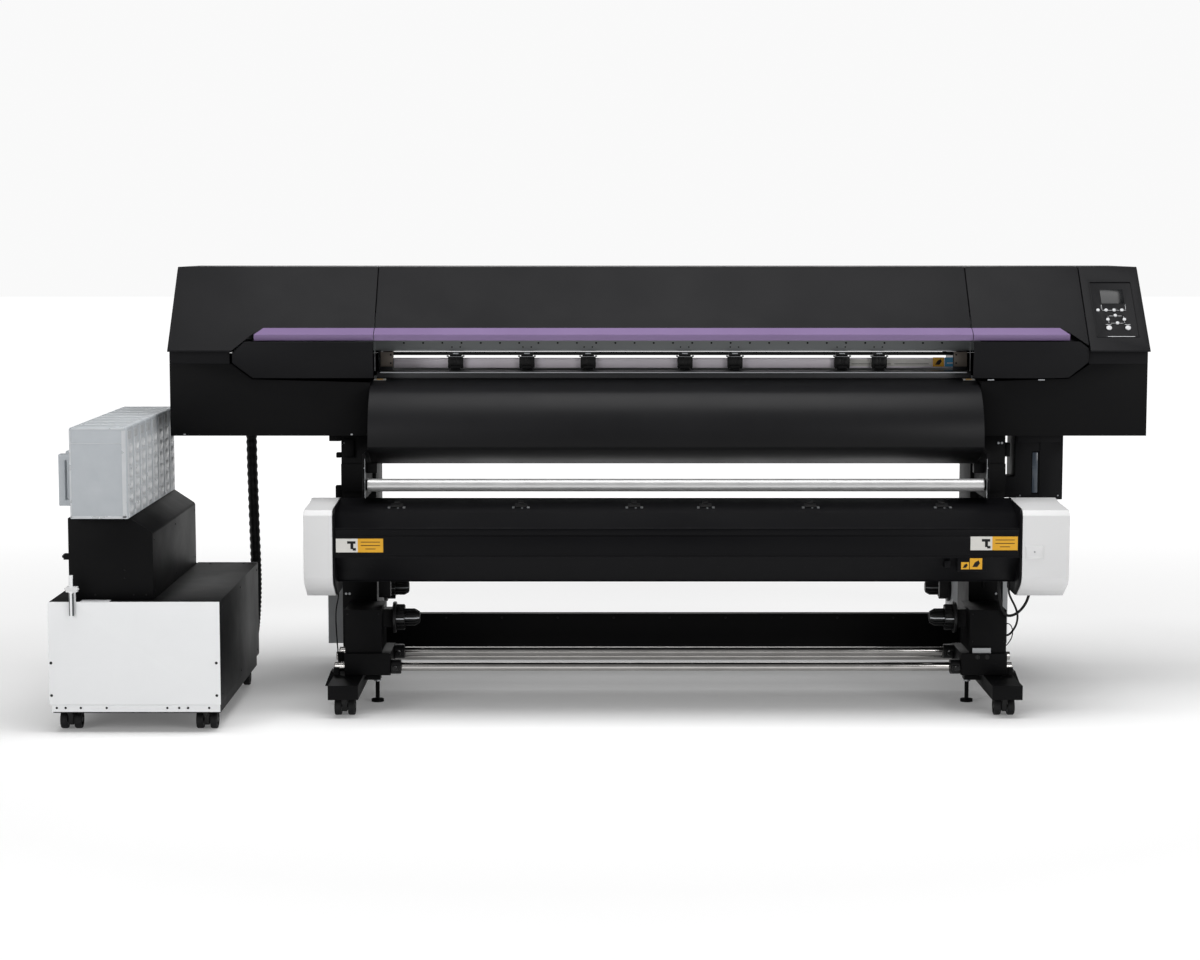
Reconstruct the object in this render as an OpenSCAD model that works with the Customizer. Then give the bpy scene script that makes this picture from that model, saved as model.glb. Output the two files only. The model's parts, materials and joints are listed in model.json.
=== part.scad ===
// Wide-format roll-to-roll printer cutter on its stand, with a wheeled bulk-ink cart.
// Millimetres. +X is the operator's right, -Y faces the operator, +Z is up.
// The origin is on the floor, under the middle of the whole outline.

/* [Machine body] */
// Width of the machine body over its end walls
body_w = 2780; // [2760:5:2800]
// Height of the top cover above the floor
body_h = 1246; // [1240:1:1250]
// Middle of the machine body along X
body_cx = 132; // [130:1:134]
// Thickness of the moulded covers
skin = 4; // [3:0.5:5]
// Height of the floor of the lower covers
body_floor_z = 770; // [766:1:774]

/* [Media path] */
// Middle of the media path along X
media_cx = 178; // [177:1:179]
// Width of the apron that carries the printed media
apron_w = 1727; // [1720:1:1730]
// Height of the top of the platen deck
deck_z = 948; // [946:1:950]
// Diameter of the aluminium guide roller
guide_d = 36; // [34:1:38]
// Width of one pinch head
pinch_w = 44; // [40:1:46]

/* [Dryer] */
// Length of the black dryer housing
dryer_w = 1899; // [1895:1:1901]
// Width of the left end cap
cap_left_w = 80; // [76:1:82]
// Width of the right end cap
cap_right_w = 130; // [126:1:132]

/* [Stand and take-up] */
// Width of a leg column
leg_w = 100; // [96:2:104]
// Distance from the media middle to the outer side of a leg column
leg_reach = 960; // [956:1:964]
// Diameter of the take-up pipes
pipe_d = 25; // [22:1:26]
// Height of the take-up roll axis
core_z = 245; // [243:1:247]
// Diameter of a caster wheel
wheel_d = 50; // [48:1:52]

/* [Ink cart] */
// Width of the cart cabinet
cart_w = 462; // [456:2:464]
// Depth of the cart cabinet
cart_d = 785; // [780:1:790]
// Height of the cabinet top
cart_top_z = 358; // [354:1:360]
// Height of one ink tray
tray_h = 247; // [240:1:250]
// Distance from one ink tray to the next
tray_pitch = 95.5; // [95:0.1:96]

/* [Hidden] */
$fn = 64;
eps = 0.01;
fit = 0.05;      // radial running fit
gap = 2;         // seam between neighbouring covers

// Body stations along X
body_x0 = body_cx - body_w / 2;
body_x1 = body_cx + body_w / 2;
cover_x0 = media_cx - 853;      // left seam of the front cover
cover_x1 = media_cx + 844;      // right seam of the front cover
panel_x = body_x1 - 169;        // seam between right hood and control panel

// Hood section, Y then Z
lip_y = -175;
lip_z = 1014;
ridge_y = 35;
back_y = 475;
face_angle = atan((body_h - lip_z) / (ridge_y - lip_y));
bend_z = body_h - 6 * tan(face_angle);      // where the face turns into the top
lower_top_z = 975;
lower_y = -150;
trim_top_z = 1076;
trim_z = 1041;
hinge_y = 62;

// Working levels inside the body
beam_y0 = 45;
beam_y1 = 130;
beam_z0 = 1003;
beam_z1 = 1110;
plate_t = 8;                     // thickness of the two frame plates
plate_xs = [media_cx - 860, media_cx + 852];
platen_x0 = plate_xs[0] + plate_t;
platen_x1 = plate_xs[1];
bearing_xs = [platen_x0 + 11, platen_x1 - 16];
pinch_xs = [-631, -424, -246, 35, 180, 491, 599];
pinch_y = 16;
pinch_r = 7;
pinch_z = deck_z + 1 + pinch_r;
lift_y = 52;
lift_z = 994;
lift_r = 5;
grit_r = 10;
grit_z = deck_z + 0.4 - grit_r;
shaft_r = 5;

// Stand
foot_x = [media_cx - 927, media_cx + 919];
foot_w = 84;
foot_y0 = -395;
foot_y1 = 420;
foot_z0 = wheel_d + 4;
foot_z1 = foot_z0 + 40;
column_y0 = -40;
column_y1 = 175;
rail_y = [-215, -75];
rail_z = [117, 137];
stay_y = column_y0 + 20;           // stay pipe through both columns
stay_z = foot_z1 + 20;
wall = 3;                        // sheet thickness of the stand
core_y = -125;
roll_y = -255;
roll_z = 640;
roll_half = 866;

// Dryer section, Y then Z
dryer_x0 = media_cx - dryer_w / 2;
dryer_x1 = media_cx + dryer_w / 2;

// Cart
cart_x0 = -(body_x1);
cart_x1 = cart_x0 + cart_w;
cart_y0 = -583;
cart_y1 = cart_y0 + cart_d;
cart_z0 = 83;
house_x0 = cart_x0 + 51;
house_x1 = cart_x1 - 183;
house_z1 = 581;
tray_x0 = cart_x0 + 65;
tray_w = 156;
tray_t = 88;
tray_y0 = -577;

// ---------------------------------------------------------------- helpers

// A Y-Z outline pushed along X from x0 to x1
module along_x(x0, x1)
    translate([x0, 0, 0]) rotate([90, 0, 90]) linear_extrude(x1 - x0) children();

// An X-Z outline pushed along Y from y0 to y1
module along_y(y0, y1)
    translate([0, y1, 0]) rotate([90, 0, 0]) linear_extrude(y1 - y0) children();

// A box from its lowest corner to its highest corner
module block(a, b) translate(a) cube(b - a);

// A rod along X
module rod_x(x0, x1, y, z, r) translate([x0, y, z]) rotate([0, 90, 0]) cylinder(r = r, h = x1 - x0);

// A point set on the sloped front face: x across, s down the slope from the top ridge
module on_face(x, s)
    translate([x, ridge_y - s * cos(face_angle), body_h - s * sin(face_angle)])
        rotate([face_angle, 0, 0]) children();

// Points along an arc in a plane
function arc(c, r, a0, a1, n) =
    [for (i = [0:n]) c + r * [cos(a0 + (a1 - a0) * i / n), sin(a0 + (a1 - a0) * i / n)]];

// Y of the sloped front face at height z
function face_y(z) = ridge_y - (body_h - z) / tan(face_angle);

// A thin sheet that follows a list of points, t thick to one side
function sheet(p, t) = concat(p, [for (i = [len(p) - 1:-1:0]) p[i] + t * side(p, i)]);
function side(p, i) =
    let (a = p[max(i - 1, 0)], b = p[min(i + 1, len(p) - 1)], d = (b - a) / norm(b - a))
    [d[1], -d[0]];

// A round tube swept along a list of points
module tube(p, d, n = 8) {
    last = len(p) - 1;
    dirs = [for (i = [0:last]) let (v = p[min(i + 1, last)] - p[max(i - 1, 0)]) v / norm(v)];
    rings = [for (i = [0:last])
        let (t = dirs[i],
             u0 = cross(t, abs(t[0]) < 0.9 ? [1, 0, 0] : [0, 1, 0]),
             u = u0 / norm(u0), w = cross(t, u))
        for (k = [0:n - 1]) p[i] + d / 2 * (cos(360 * k / n) * u + sin(360 * k / n) * w)];
    walls = [for (i = [0:last - 1]) for (k = [0:n - 1])
        [i * n + k, (i + 1) * n + k, (i + 1) * n + (k + 1) % n, i * n + (k + 1) % n]];
    tris = [for (q = walls) each [[q[0], q[1], q[2]], [q[0], q[2], q[3]]]];
    polyhedron(rings, concat(tris, [[for (k = [0:n - 1]) k]],
        [[for (k = [n - 1:-1:0]) last * n + k]]), convexity = 8);
}

// Points on a smooth curve through hand-chosen points
function smooth(p, n) = concat(
    [for (i = [0:len(p) - 2]) for (k = [0:n - 1])
        blend4(p[max(i - 1, 0)], p[i], p[i + 1], p[min(i + 2, len(p) - 1)], k / n)],
    [p[len(p) - 1]]);
function blend4(a, b, c, d, t) =
    0.5 * (2 * b + (c - a) * t + (2 * a - 5 * b + 4 * c - d) * t * t
        + (3 * b - a - 3 * c + d) * t * t * t);

// ---------------------------------------------------------------- body covers

// Section of the upper covers, drawn in by t
function hood_section(t) = let (k = t / sin(face_angle)) [
    [lip_y + k, lip_z - 4 - eps * t], [lip_y + k, lip_z], [ridge_y - 6 + 0.6 * t, bend_z - t * 0.9],
    [ridge_y + 2, body_h - t], [back_y - 35, body_h - t - 3], [back_y - t, body_h - 32],
    [back_y - t, lip_z - 4 - eps * t]];

// Upper cover shell between two stations, with an end wall where asked
module hood_shell(x0, x1, left_wall, right_wall) {
    difference() {
        along_x(x0, x1) polygon(hood_section(0));
        along_x(x0 + (left_wall ? skin : -1), x1 - (right_wall ? skin : -1))
            polygon(concat([[lip_y + skin * 1.36, 900]],
                [for (i = [1:5]) hood_section(skin)[i]], [[back_y - skin, 900]]));
    }
}

// Skirt that carries the side and back walls down from the upper covers
module skirt(x0, x1) {
    block([x0, lip_y + 25, lower_top_z], [x1, lip_y + 25 + skin, lip_z]);
    block([x0, back_y - skin, lower_top_z], [x1, back_y, lip_z]);
}

// Left hood, cut away below for the trim and the maintenance cover
module left_hood() color("#1d1d20") {
    difference() {
        union() {
            hood_shell(body_x0, cover_x0 - gap, true, false);
            skirt(body_x0 + skin, cover_x0 - gap);
            block([body_x0 + 2, lip_y + 25, lower_top_z], [body_x0 + 2 + skin, back_y, lip_z + 5]);
        }
        along_y(-200, -60) polygon([[body_x0 + 173, 900], [body_x0 + 173, 1006],
            [body_x0 + 240, 1061], [cover_x0 + 5, 1061], [cover_x0 + 5, 900]]);
    }
}

// Right hood between the front cover and the control panel
module right_hood() color("#1d1d20") {
    difference() {
        union() {
            hood_shell(cover_x1 + gap, panel_x - gap, false, false);
            skirt(cover_x1 + gap, panel_x - gap);
        }
        along_y(-200, -60) polygon([[panel_x + 5, 900], [panel_x + 5, 1021],
            [panel_x - 57, 1064], [cover_x1 - 5, 1061], [cover_x1 - 5, 900]]);
    }
}

// Operator's panel at the right end, with a recess for the display and the keys
module control_panel() color("#1d1d20") {
    difference() {
        union() {
            hood_shell(panel_x, body_x1, false, true);
            skirt(panel_x, body_x1 - skin);
            block([body_x1 - 2 - skin, lip_y + 25, lower_top_z], [body_x1 - 2, back_y, lip_z + 5]);
            on_face(panel_x + 84, 160) block([-61, -103, -14], [61, 103, -skin]);
        }
        on_face(panel_x + 84, 160) block([-59, -101, -2], [59, 101, 5]);
        for (k = menu_key_places) on_face(k[0], k[1]) translate([0, 0, -20]) cylinder(d = 10.6, h = 30);
        for (k = command_key_places) on_face(k[0], k[1]) translate([0, 0, -20]) cylinder(d = 17, h = 30);
    }
}

// Clear window of the display, set in the panel's recess
module display_window() color("#3a3f45")
    on_face(panel_x + 84, 112) block([-33, -27, -1.99], [33, 27, -0.8]);

menu_key_places = [for (k = [[-46, 163], [-23, 163], [0, 163], [22, 163],
    [1, 183], [-22, 198], [25, 198], [4, 211]]) [panel_x + 84 + k[0], k[1]]];
command_key_places = [[panel_x + 62, 229], [panel_x + 116, 229]];

// A round key on the sloped panel, guided by a stem
module key(place, d) on_face(place[0], place[1]) {
    translate([0, 0, -3]) cylinder(d = d, h = 4);
    translate([0, 0, -12]) cylinder(d = d * 0.6, h = 10);
}

module menu_keys() color("#c9cacc") for (k = menu_key_places) key(k, 10);
module command_keys() color("#c9cacc") for (k = command_key_places) key(k, 16);

// Long cover over the print area, hinged along its upper rear edge
module front_cover() color("#1d1d20") {
    x0 = cover_x0;
    x1 = cover_x1;
    outer = [[face_y(trim_z), trim_z], [ridge_y - 6, bend_z], [ridge_y + 2, body_h],
        [hinge_y - 2, body_h]];
    inner = [[hinge_y - 2, body_h - skin], [ridge_y + 4, body_h - skin],
        [ridge_y - 3, body_h - 8], [face_y(trim_z) + skin * 1.35, trim_z]];
    along_x(x0, x1) polygon(concat(outer, inner));
    // stiffening flange along the bottom edge
    along_x(x0, x1) polygon([[face_y(trim_z), trim_z], [face_y(trim_z) + 16, trim_z],
        [face_y(trim_z) + 16, trim_z + 3], [face_y(trim_z) + 7, trim_z + 5]]);
    // two hinge leaves
    for (x = [x0 + 120, x1 - 160]) block([x, hinge_y - 22, body_h - 9], [x + 40, hinge_y - 2, body_h - 3]);
}

// Proud two-facet strip; the outline is set off from the hood face
function trim_section() = [
    [face_y(trim_z) - 1, trim_z], [face_y(trim_z) - 9, trim_z + 2],
    [face_y(trim_z) - 7, trim_z + 20], [face_y(trim_top_z) - 3, trim_top_z],
    [face_y(trim_top_z) - 0.3, trim_top_z], [face_y(trim_z) - 0.3, trim_z + 0.8]];

module front_cover_trim() color("#75589c")
    along_x(cover_x0, cover_x1) polygon(trim_section());

// The two fixed lengths of trim, with slanted outer ends
module trim_strips() color("#75589c") {
    difference() {
        along_x(body_x0 + 243, cover_x0 - gap) polygon(trim_section());
        along_y(-200, -60) polygon([[body_x0 + 200, 1030], [body_x0 + 242, 1030],
            [body_x0 + 267, 1085], [body_x0 + 200, 1085]]);
    }
    difference() {
        along_x(cover_x1 + gap, panel_x - 56) polygon(trim_section());
        along_y(-200, -60) polygon([[panel_x - 50, 1030], [panel_x - 55, 1030],
            [panel_x - 82, 1085], [panel_x - 50, 1085]]);
    }
}

// Top and rear cover behind the front cover's hinge line
module rear_cover() color("#1d1d20") {
    x0 = cover_x0;
    x1 = cover_x1;
    along_x(x0, x1) polygon([[hinge_y + 2, body_h], [back_y - 35, body_h - 3],
        [back_y, body_h - 32], [back_y, 1000], [back_y - skin, 1000],
        [back_y - skin, body_h - 34], [back_y - 37, body_h - 3 - skin],
        [hinge_y + 2, body_h - skin]]);
    block([x0, beam_y1 + 90, beam_z1 + 20], [x1, back_y - skin, beam_z1 + 24]);
    // rail that carries the hinge leaves
    block([x0, hinge_y + 2, body_h - 34], [x1, hinge_y + 6, body_h - skin]);
}

// Box-shaped lower cover whose top edge follows the outline given
module lower_cover(x0, x1, outline) {
    difference() {
        union() {
            block([x0, lower_y, body_floor_z], [x1, back_y - 25, lower_top_z]);
            along_y(lower_y, back_y - 25) polygon(outline);
        }
        block([x0 + 3, lower_y + 3, body_floor_z + 3], [x1 - 3, back_y - 28, lower_top_z + 100]);
        // the carriages pass through here
        along_y(lower_y - 5, beam_y0 + 15) polygon(outline);
    }
}

module left_lower_cover() color("#1b1b1e") {
    x1 = cover_x0 - 12;
    lower_cover(body_x0 + 2, x1, [[body_x0 + 179, lower_top_z + 1],
        [body_x0 + 179, lower_top_z - 1], [body_x0 + 236, 931], [x1 + 1, 922],
        [x1 + 1, lower_top_z + 1]]);
}

module right_lower_cover() color("#1b1b1e") {
    x0 = cover_x1 + 26;
    lower_cover(x0, body_x1 - 2, [[x0 - 1, lower_top_z + 1], [x0 - 1, 925],
        [panel_x - 56, 933], [panel_x + 2, lower_top_z - 1], [panel_x + 2, lower_top_z + 1]]);
}

// Drop-down cover below the trim, hinged along its bottom edge
module maintenance_cover(outline) {
    intersection() {
        along_x(body_x0, body_x1) polygon([[-168, 1038], [-154, 934], [-134, 934],
            [-134, 937], [-151, 937], [-165, 1035], [-150, 1035], [-150, 1038]]);
        along_y(-200, -60) polygon(outline);
    }
}

module left_maintenance_cover() color("#19191b")
    maintenance_cover([[body_x0 + 181, 1006], [body_x0 + 240, 1058],
        [cover_x0 - gap, 1058], [cover_x0 - gap, 925], [body_x0 + 238, 934],
        [body_x0 + 181, 978]]);

module right_maintenance_cover() color("#19191b")
    maintenance_cover([[cover_x1 + gap, 1058], [panel_x - 57, 1058],
        [panel_x - 3, 1019], [panel_x - 3, 980], [panel_x - 57, 936],
        [cover_x1 + gap, 925]]);

// ---------------------------------------------------------------- print unit

// Cross beam of the machine with two guide rails and two frame plates
module main_beam() color("#2b2b2e") {
    difference() {
        union() {
            block([body_x0 + 14, beam_y0, beam_z0], [body_x1 - 14, beam_y1, beam_z1]);
            for (z = [1060, 1096]) block([body_x0 + 20, beam_y0 - 12, z - 5], [body_x1 - 20, beam_y0, z + 5]);
            // frame plates, under and behind the beam
            for (x = plate_xs) along_x(x, x + plate_t) polygon([[-70, body_floor_z + 4],
                [back_y - 35, body_floor_z + 4], [back_y - 35, 1100], [beam_y1 - 5, 1100],
                [beam_y1 - 5, 1030], [beam_y0 + 30, beam_z0 + 5], [beam_y0 + 30, 936],
                [-70, 936]]);
            // lower stretcher between the leg columns
            block([media_cx - leg_reach + leg_w, 30, body_floor_z - 70],
                [media_cx + leg_reach - leg_w, column_y1 - 15, body_floor_z - 6]);
            for (x = plate_xs)
                block([x, 30, body_floor_z - 70], [x + plate_t, column_y1 - 15, body_floor_z + 10]);
        }
        block([body_x0, beam_y0 + 5, beam_z0 + 5], [body_x1, beam_y1 - 5, beam_z1 - 5]);
        block([media_cx - leg_reach + leg_w - 1, 35, body_floor_z - 65],
            [media_cx + leg_reach - leg_w + 1, column_y1 - 20, body_floor_z - 11]);
    }
    // pinch rail, between the end plates on the platen
    block([platen_x0 + 38, 28, deck_z + 5], [platen_x1 - 38, 44, deck_z + 34]);
}

// Platen deck with its slots, the end plates of the pinch rail and the rear guide
module platen() color("#8f9092") {
    x0 = platen_x0;
    x1 = platen_x1;
    difference() {
        along_x(x0, x1) polygon(concat([[-72, 905], [-76, 905]],
            arc([-72, deck_z - 4], 4, 180, 90, 4), [[150, deck_z]],
            [[260, deck_z - 40], [330, deck_z - 120], [330, deck_z - 124],
            [257, deck_z - 44], [149, deck_z - 4], [-72, deck_z - 4]]));
        for (x = pinch_xs) block([media_cx + x - pinch_w / 2 - 2, pinch_y - 13, deck_z - 10],
            [media_cx + x + pinch_w / 2 + 2, pinch_y + 13, deck_z + 5]);
    }
    // bearing blocks of the grit shaft
    difference() {
        for (x = bearing_xs) block([x, pinch_y - 14, 905], [x + 12, pinch_y + 14, deck_z - 4 + eps]);
        rod_x(x0, x1, pinch_y, grit_z, shaft_r + fit);
    }
    // end plates of the pinch rail
    for (x = [x0, x1 - 38]) {
        block([x, 18, deck_z], [x + 38, 28 + eps, deck_z + 52]);
        block([x + 10, 28, deck_z], [x + 38, 44, deck_z + 34]);
        // ear that holds one end of the lift shaft
        difference() {
            block([x + 10, 28, deck_z + 34 - eps], [x + 38, lift_y + 10, beam_z0 - 1]);
            rod_x(x - 1, x + 40, lift_y, lift_z, lift_r + fit);
        }
    }
}

// Seven spring arms on one lift shaft, each with a pinch head in front of the rail
module pinch_arms() color("#1f1f21") {
    difference() {
        union() {
            rod_x(platen_x0 + 12, platen_x1 - 12, lift_y, lift_z, lift_r);
            for (x = pinch_xs) translate([media_cx + x, 0, 0]) {
                for (s = [-1, 1]) block([s * 13 - 4, 20, deck_z + 36], [s * 13 + 4, lift_y, lift_z + 4]);
                block([-pinch_w / 2, pinch_y - 5, deck_z + 8], [pinch_w / 2, pinch_y + 8, deck_z + 38]);
                block([-13, 20, deck_z + 36], [13, 27, deck_z + 46]);
                for (s = [-1, 1]) block([s * 18 - 3, pinch_y - 5, pinch_z - 4],
                    [s * 18 + 3, pinch_y + 5, deck_z + 12]);
            }
        }
        for (x = pinch_xs) rod_x(media_cx + x - 15, media_cx + x + 15, pinch_y, pinch_z, pinch_r + 1);
        for (x = pinch_xs) rod_x(media_cx + x - 30, media_cx + x + 30, pinch_y, pinch_z, 2 + fit);
    }
}

module pinch_rollers() color("#3a3a3c")
    for (x = pinch_xs) {
        rod_x(media_cx + x - 14, media_cx + x + 14, pinch_y, pinch_z, pinch_r);
        rod_x(media_cx + x - 21, media_cx + x + 21, pinch_y, pinch_z, 2);
    }

// Driven shaft with seven grit sleeves under the deck
module grit_rollers() color("#9a9b9d") {
    rod_x(bearing_xs[0], bearing_xs[1] + 12, pinch_y, grit_z, shaft_r);
    for (x = pinch_xs) rod_x(media_cx + x - pinch_w / 2, media_cx + x + pinch_w / 2, pinch_y, grit_z, grit_r);
}

// Print carriage, parked at the right over its cleaning station
module print_carriage() color("#2f3033") {
    x0 = cover_x1 + 50;
    difference() {
        along_x(x0, x0 + 270) polygon([[-130, deck_z + 3], [3, deck_z + 3], [3, 1006],
            [28, 1030], [44, 1030], [44, 1108], [-60, 1108], [-130, 1040]]);
        for (z = [1060, 1096]) block([x0 - 1, beam_y0 - 12 - 0.4, z - 5.4], [x0 + 271, beam_y0 + 1, z + 5.4]);
    }
}

// Cutter carriage, parked at the left
module cutter_carriage() color("#2f3033") {
    x0 = body_x0 + 34;
    difference() {
        union() {
            along_x(x0, x0 + 120) polygon([[-70, 1012], [-20, 1012], [10, 1030],
                [44, 1030], [44, 1108], [-50, 1108], [-70, 1070]]);
            translate([x0 + 60, -45, 985]) cylinder(d = 34, h = 40);
        }
        for (z = [1060, 1096]) block([x0 - 1, beam_y0 - 12 - 0.4, z - 5.4], [x0 + 121, beam_y0 + 1, z + 5.4]);
        translate([x0 + 60, -45, 980]) cylinder(d = 18 + 2 * fit, h = 70);
    }
}

// Blade holder that drops out of the cutter carriage
module cutter_holder() color("#c2c4c6") translate([body_x0 + 94, -45, 0]) {
    translate([0, 0, 972]) cylinder(d = 18, h = 66);
    translate([0, 0, 966]) cylinder(d = 26, h = 8);
    translate([0, 0, 958]) cylinder(d1 = 6, d2 = 14, h = 8);
    translate([0, 0, 954]) cylinder(d = 2, h = 5);
}

// Curved sheet that carries the media from the platen down to the guide roller
module apron() color("#232326") {
    x0 = media_cx - apron_w / 2;
    curve = concat([[-84, 930]], arc([-104, 762], 166, 122, 178, 10), [[-270, 748]]);
    difference() {
        along_x(x0, x0 + apron_w) polygon(sheet(curve, -3));
        // front corners step in at the top to clear the side frames
        along_y(-200, -60) polygon([[x0 - 1, 906], [x0 + 5, 935], [x0 - 1, 935]]);
    }
    along_x(x0, x0 + apron_w) polygon(sheet([[-270, 748], [-262, 738], [-140, 690], [-70, 690]], -3));
    for (x = [x0 + 30, x0 + apron_w - 60]) block([x, -92, 690], [x + 30, -76, 925]);
    block([x0 + 30, -92, 915], [x0 + apron_w - 30, -79, 925]);
}

// Bare aluminium roller that turns the media back under the apron
module guide_roller() color("#c9ccd0") {
    rod_x(media_cx - roll_half, media_cx + roll_half, roll_y, roll_z, guide_d / 2);
    rod_x(media_cx - roll_half - 12, media_cx + roll_half + 12, roll_y, roll_z, 6);
}

// ---------------------------------------------------------------- stand

// Leg column, foot, roller bracket and levelling foot; side is -1 or 1
module leg(side) {
    outer = media_cx + side * leg_reach;
    inner = outer - side * leg_w;
    cx = foot_x[side < 0 ? 0 : 1];
    lo = min(outer, inner);
    hi = max(outer, inner);
    difference() {
        union() {
            difference() {
                block([lo, column_y0, foot_z1 - eps], [hi, column_y1, body_floor_z - 0.5]);
                block([lo + wall, column_y0 + wall, foot_z1 + wall],
                    [hi - wall, column_y1 - wall, body_floor_z]);
            }
            difference() {
                block([cx - foot_w / 2, foot_y0, foot_z0], [cx + foot_w / 2, foot_y1, foot_z1]);
                block([cx - foot_w / 2 + wall, foot_y0 + 100, foot_z0 - 1],
                    [cx + foot_w / 2 - wall, foot_y1 - 95, foot_z1 - wall]);
            }
            // slanted fin on the outer side of the foot
            along_y(-200, -150) polygon([[cx + side * (foot_w / 2 - 2), foot_z1],
                [cx + side * (foot_w / 2 + 12), foot_z1 + 6],
                [cx + side * (foot_w / 2 + 28), foot_z0 + 4], [cx + side * (foot_w / 2 - 2), foot_z0]]);
            // levelling foot bracket, stem and pad
            block([min(cx, cx + side * -84), -150, 66], [max(cx, cx + side * -84), -110, 78]);
            translate([cx - side * 74, -130, 0]) cylinder(d = 12, h = 80);
            translate([cx - side * 74, -130, 0]) cylinder(d = 36, h = 8);
            // arm that carries the guide roller
            block([min(media_cx + side * (roll_half + 4), media_cx + side * (roll_half + 12)),
                roll_y - 22, roll_z - 38], [max(media_cx + side * (roll_half + 4),
                media_cx + side * (roll_half + 12)), column_y0 + 1, roll_z + 88]);
            block([min(media_cx + side * (roll_half + 4), outer), column_y0 - 12, roll_z - 40],
                [max(media_cx + side * (roll_half + 4), outer), column_y0 + 1, roll_z + 40]);
            // dryer arm, clear of the end cap
            block([min(outer - side * 14, inner), -215, 420],
                [max(outer - side * 14, inner), column_y0 + 1, 470]);
            // saddles for the two take-up pipes, at the outer edge of the foot
            for (i = [0, 1]) block([cx + side * 34 - 8, rail_y[i] - 14, foot_z1 - 1],
                [cx + side * 34 + 8, rail_y[i] + 14, rail_z[i]]);
        }
        rod_x(media_cx - 1200, media_cx + 1200, roll_y, roll_z, 6 + fit);
        for (i = [0, 1]) rod_x(media_cx - 1200, media_cx + 1200, rail_y[i], rail_z[i], pipe_d / 2);
        rod_x(media_cx - 1200, media_cx + 1200, stay_y, stay_z, pipe_d / 2);
        // seat of the front caster's stem
        translate([cx, foot_y0 + 50, foot_z0 - 1]) cylinder(d = 12 + 2 * fit, h = 30);
    }
    // fixed rear caster bracket
    caster_fork([cx, foot_y1 - 45], 18, false);
}

module left_leg() color("#1c1c1e") leg(-1);
module right_leg() color("#1c1c1e") leg(1);

// Twin-wheel caster bracket; p is the stem, trail sets the axle behind it
module caster_fork(p, trail, stem) translate([p[0], p[1], 0]) {
    difference() {
        union() {
            translate([-7, trail - 19, wheel_d / 2 - 12]) cube([14, 34, wheel_d / 2 + 12 + 1]);
            translate([-7, -14, wheel_d - 6]) cube([14, 28, 7]);
            translate([0, 0, wheel_d + 1]) cylinder(d = 40, h = stem ? 2.8 : 3);
            if (stem) translate([0, 0, wheel_d + 3]) cylinder(d = 12, h = 26);
        }
        rod_x(-20, 20, trail, wheel_d / 2, 4 + fit);
    }
}

// Two wheels on one axle
module caster_wheels(p, trail) translate([p[0], p[1] + trail, wheel_d / 2]) {
    for (s = [-1, 1]) rod_x(s * 19 - 9.5, s * 19 + 9.5, 0, 0, wheel_d / 2);
    rod_x(-20, 20, 0, 0, 4);
}

caster_y = foot_y0 + 50;
module printer_left_caster() color("#151517") caster_fork([foot_x[0], caster_y], 18, true);
module printer_left_wheels() color("#222225") caster_wheels([foot_x[0], caster_y], 18);
module printer_right_caster() color("#151517") caster_fork([foot_x[1], caster_y], 18, true);
module printer_right_wheels() color("#222225") caster_wheels([foot_x[1], caster_y], 18);
module printer_rear_wheels() color("#222225") {
    for (x = foot_x) caster_wheels([x, foot_y1 - 45], 18);
}

// Folded sheet between the columns, behind the take-up roll
module cross_beam() color("#161618") {
    x0 = media_cx - leg_reach + leg_w;
    x1 = media_cx + leg_reach - leg_w;
    block([x0, 150, 92], [x1, 153, 216]);
    block([x0, 120, 213], [x1, 153, 216]);
    block([x0, 120, 92], [x1, 153, 95]);
}

// Two pipes that carry the take-up units, and the long stay pipe
module takeup_rails() color("#b9bcbf") {
    for (i = [0, 1]) rod_x(foot_x[0] - 40, foot_x[1] + 40, rail_y[i], rail_z[i], pipe_d / 2);
    rod_x(media_cx - 982, media_cx + 986, stay_y, stay_z, pipe_d / 2);
}

// Take-up unit: base block on the pipes, motor box and connector block
module takeup_unit(x0, x1, inner, side, bore) {
    base0 = min(x0, inner);
    base1 = max(x1, inner);
    difference() {
        union() {
            difference() {
                block([x0, core_y - 95, 120], [x1, core_y + 80, 280]);
                block([x0 + wall, core_y - 95 + wall, 158], [x1 - wall, core_y + 80 - wall, 280 - wall]);
                // rear service window
                block([x0 + 20, core_y, 170], [x1 - 20, core_y + 100, 265]);
            }
            block([base0, rail_y[0] - 26, 96], [base1, rail_y[1] + 22, 158]);
            block([min(inner, inner + side * 26), core_y - 26, core_z - 26],
                [max(inner, inner + side * 26), core_y + 26, core_z + 26]);
        }
        for (i = [0, 1]) rod_x(base0 - 100, base1 + 100, rail_y[i], rail_z[i], pipe_d / 2 + bore);
        rod_x(inner - 15, inner + 15, core_y, core_z, 10 + fit);
    }
}

lt_x0 = media_cx - 937;
lt_x1 = media_cx - 833;
module takeup_left_unit() color("#1b1b1d") takeup_unit(lt_x0, lt_x1, media_cx - 807, -1, 0.1);

rt_x0 = media_cx + 838;
rt_x1 = media_cx + 942;
module takeup_right_unit() color("#1b1b1d") {
    takeup_unit(rt_x0, rt_x1, media_cx + 812, 1, 0.01);
    // switch plate with two round knobs
    block([rt_x0 + 6, core_y - 103, 131], [rt_x0 + 60, core_y - 95 + eps, 174]);
    for (k = [[20, 148], [47, 148]]) translate([rt_x0 + k[0], core_y - 103, k[1]])
        rotate([90, 0, 0]) cylinder(d = 15, h = 12);
}

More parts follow.
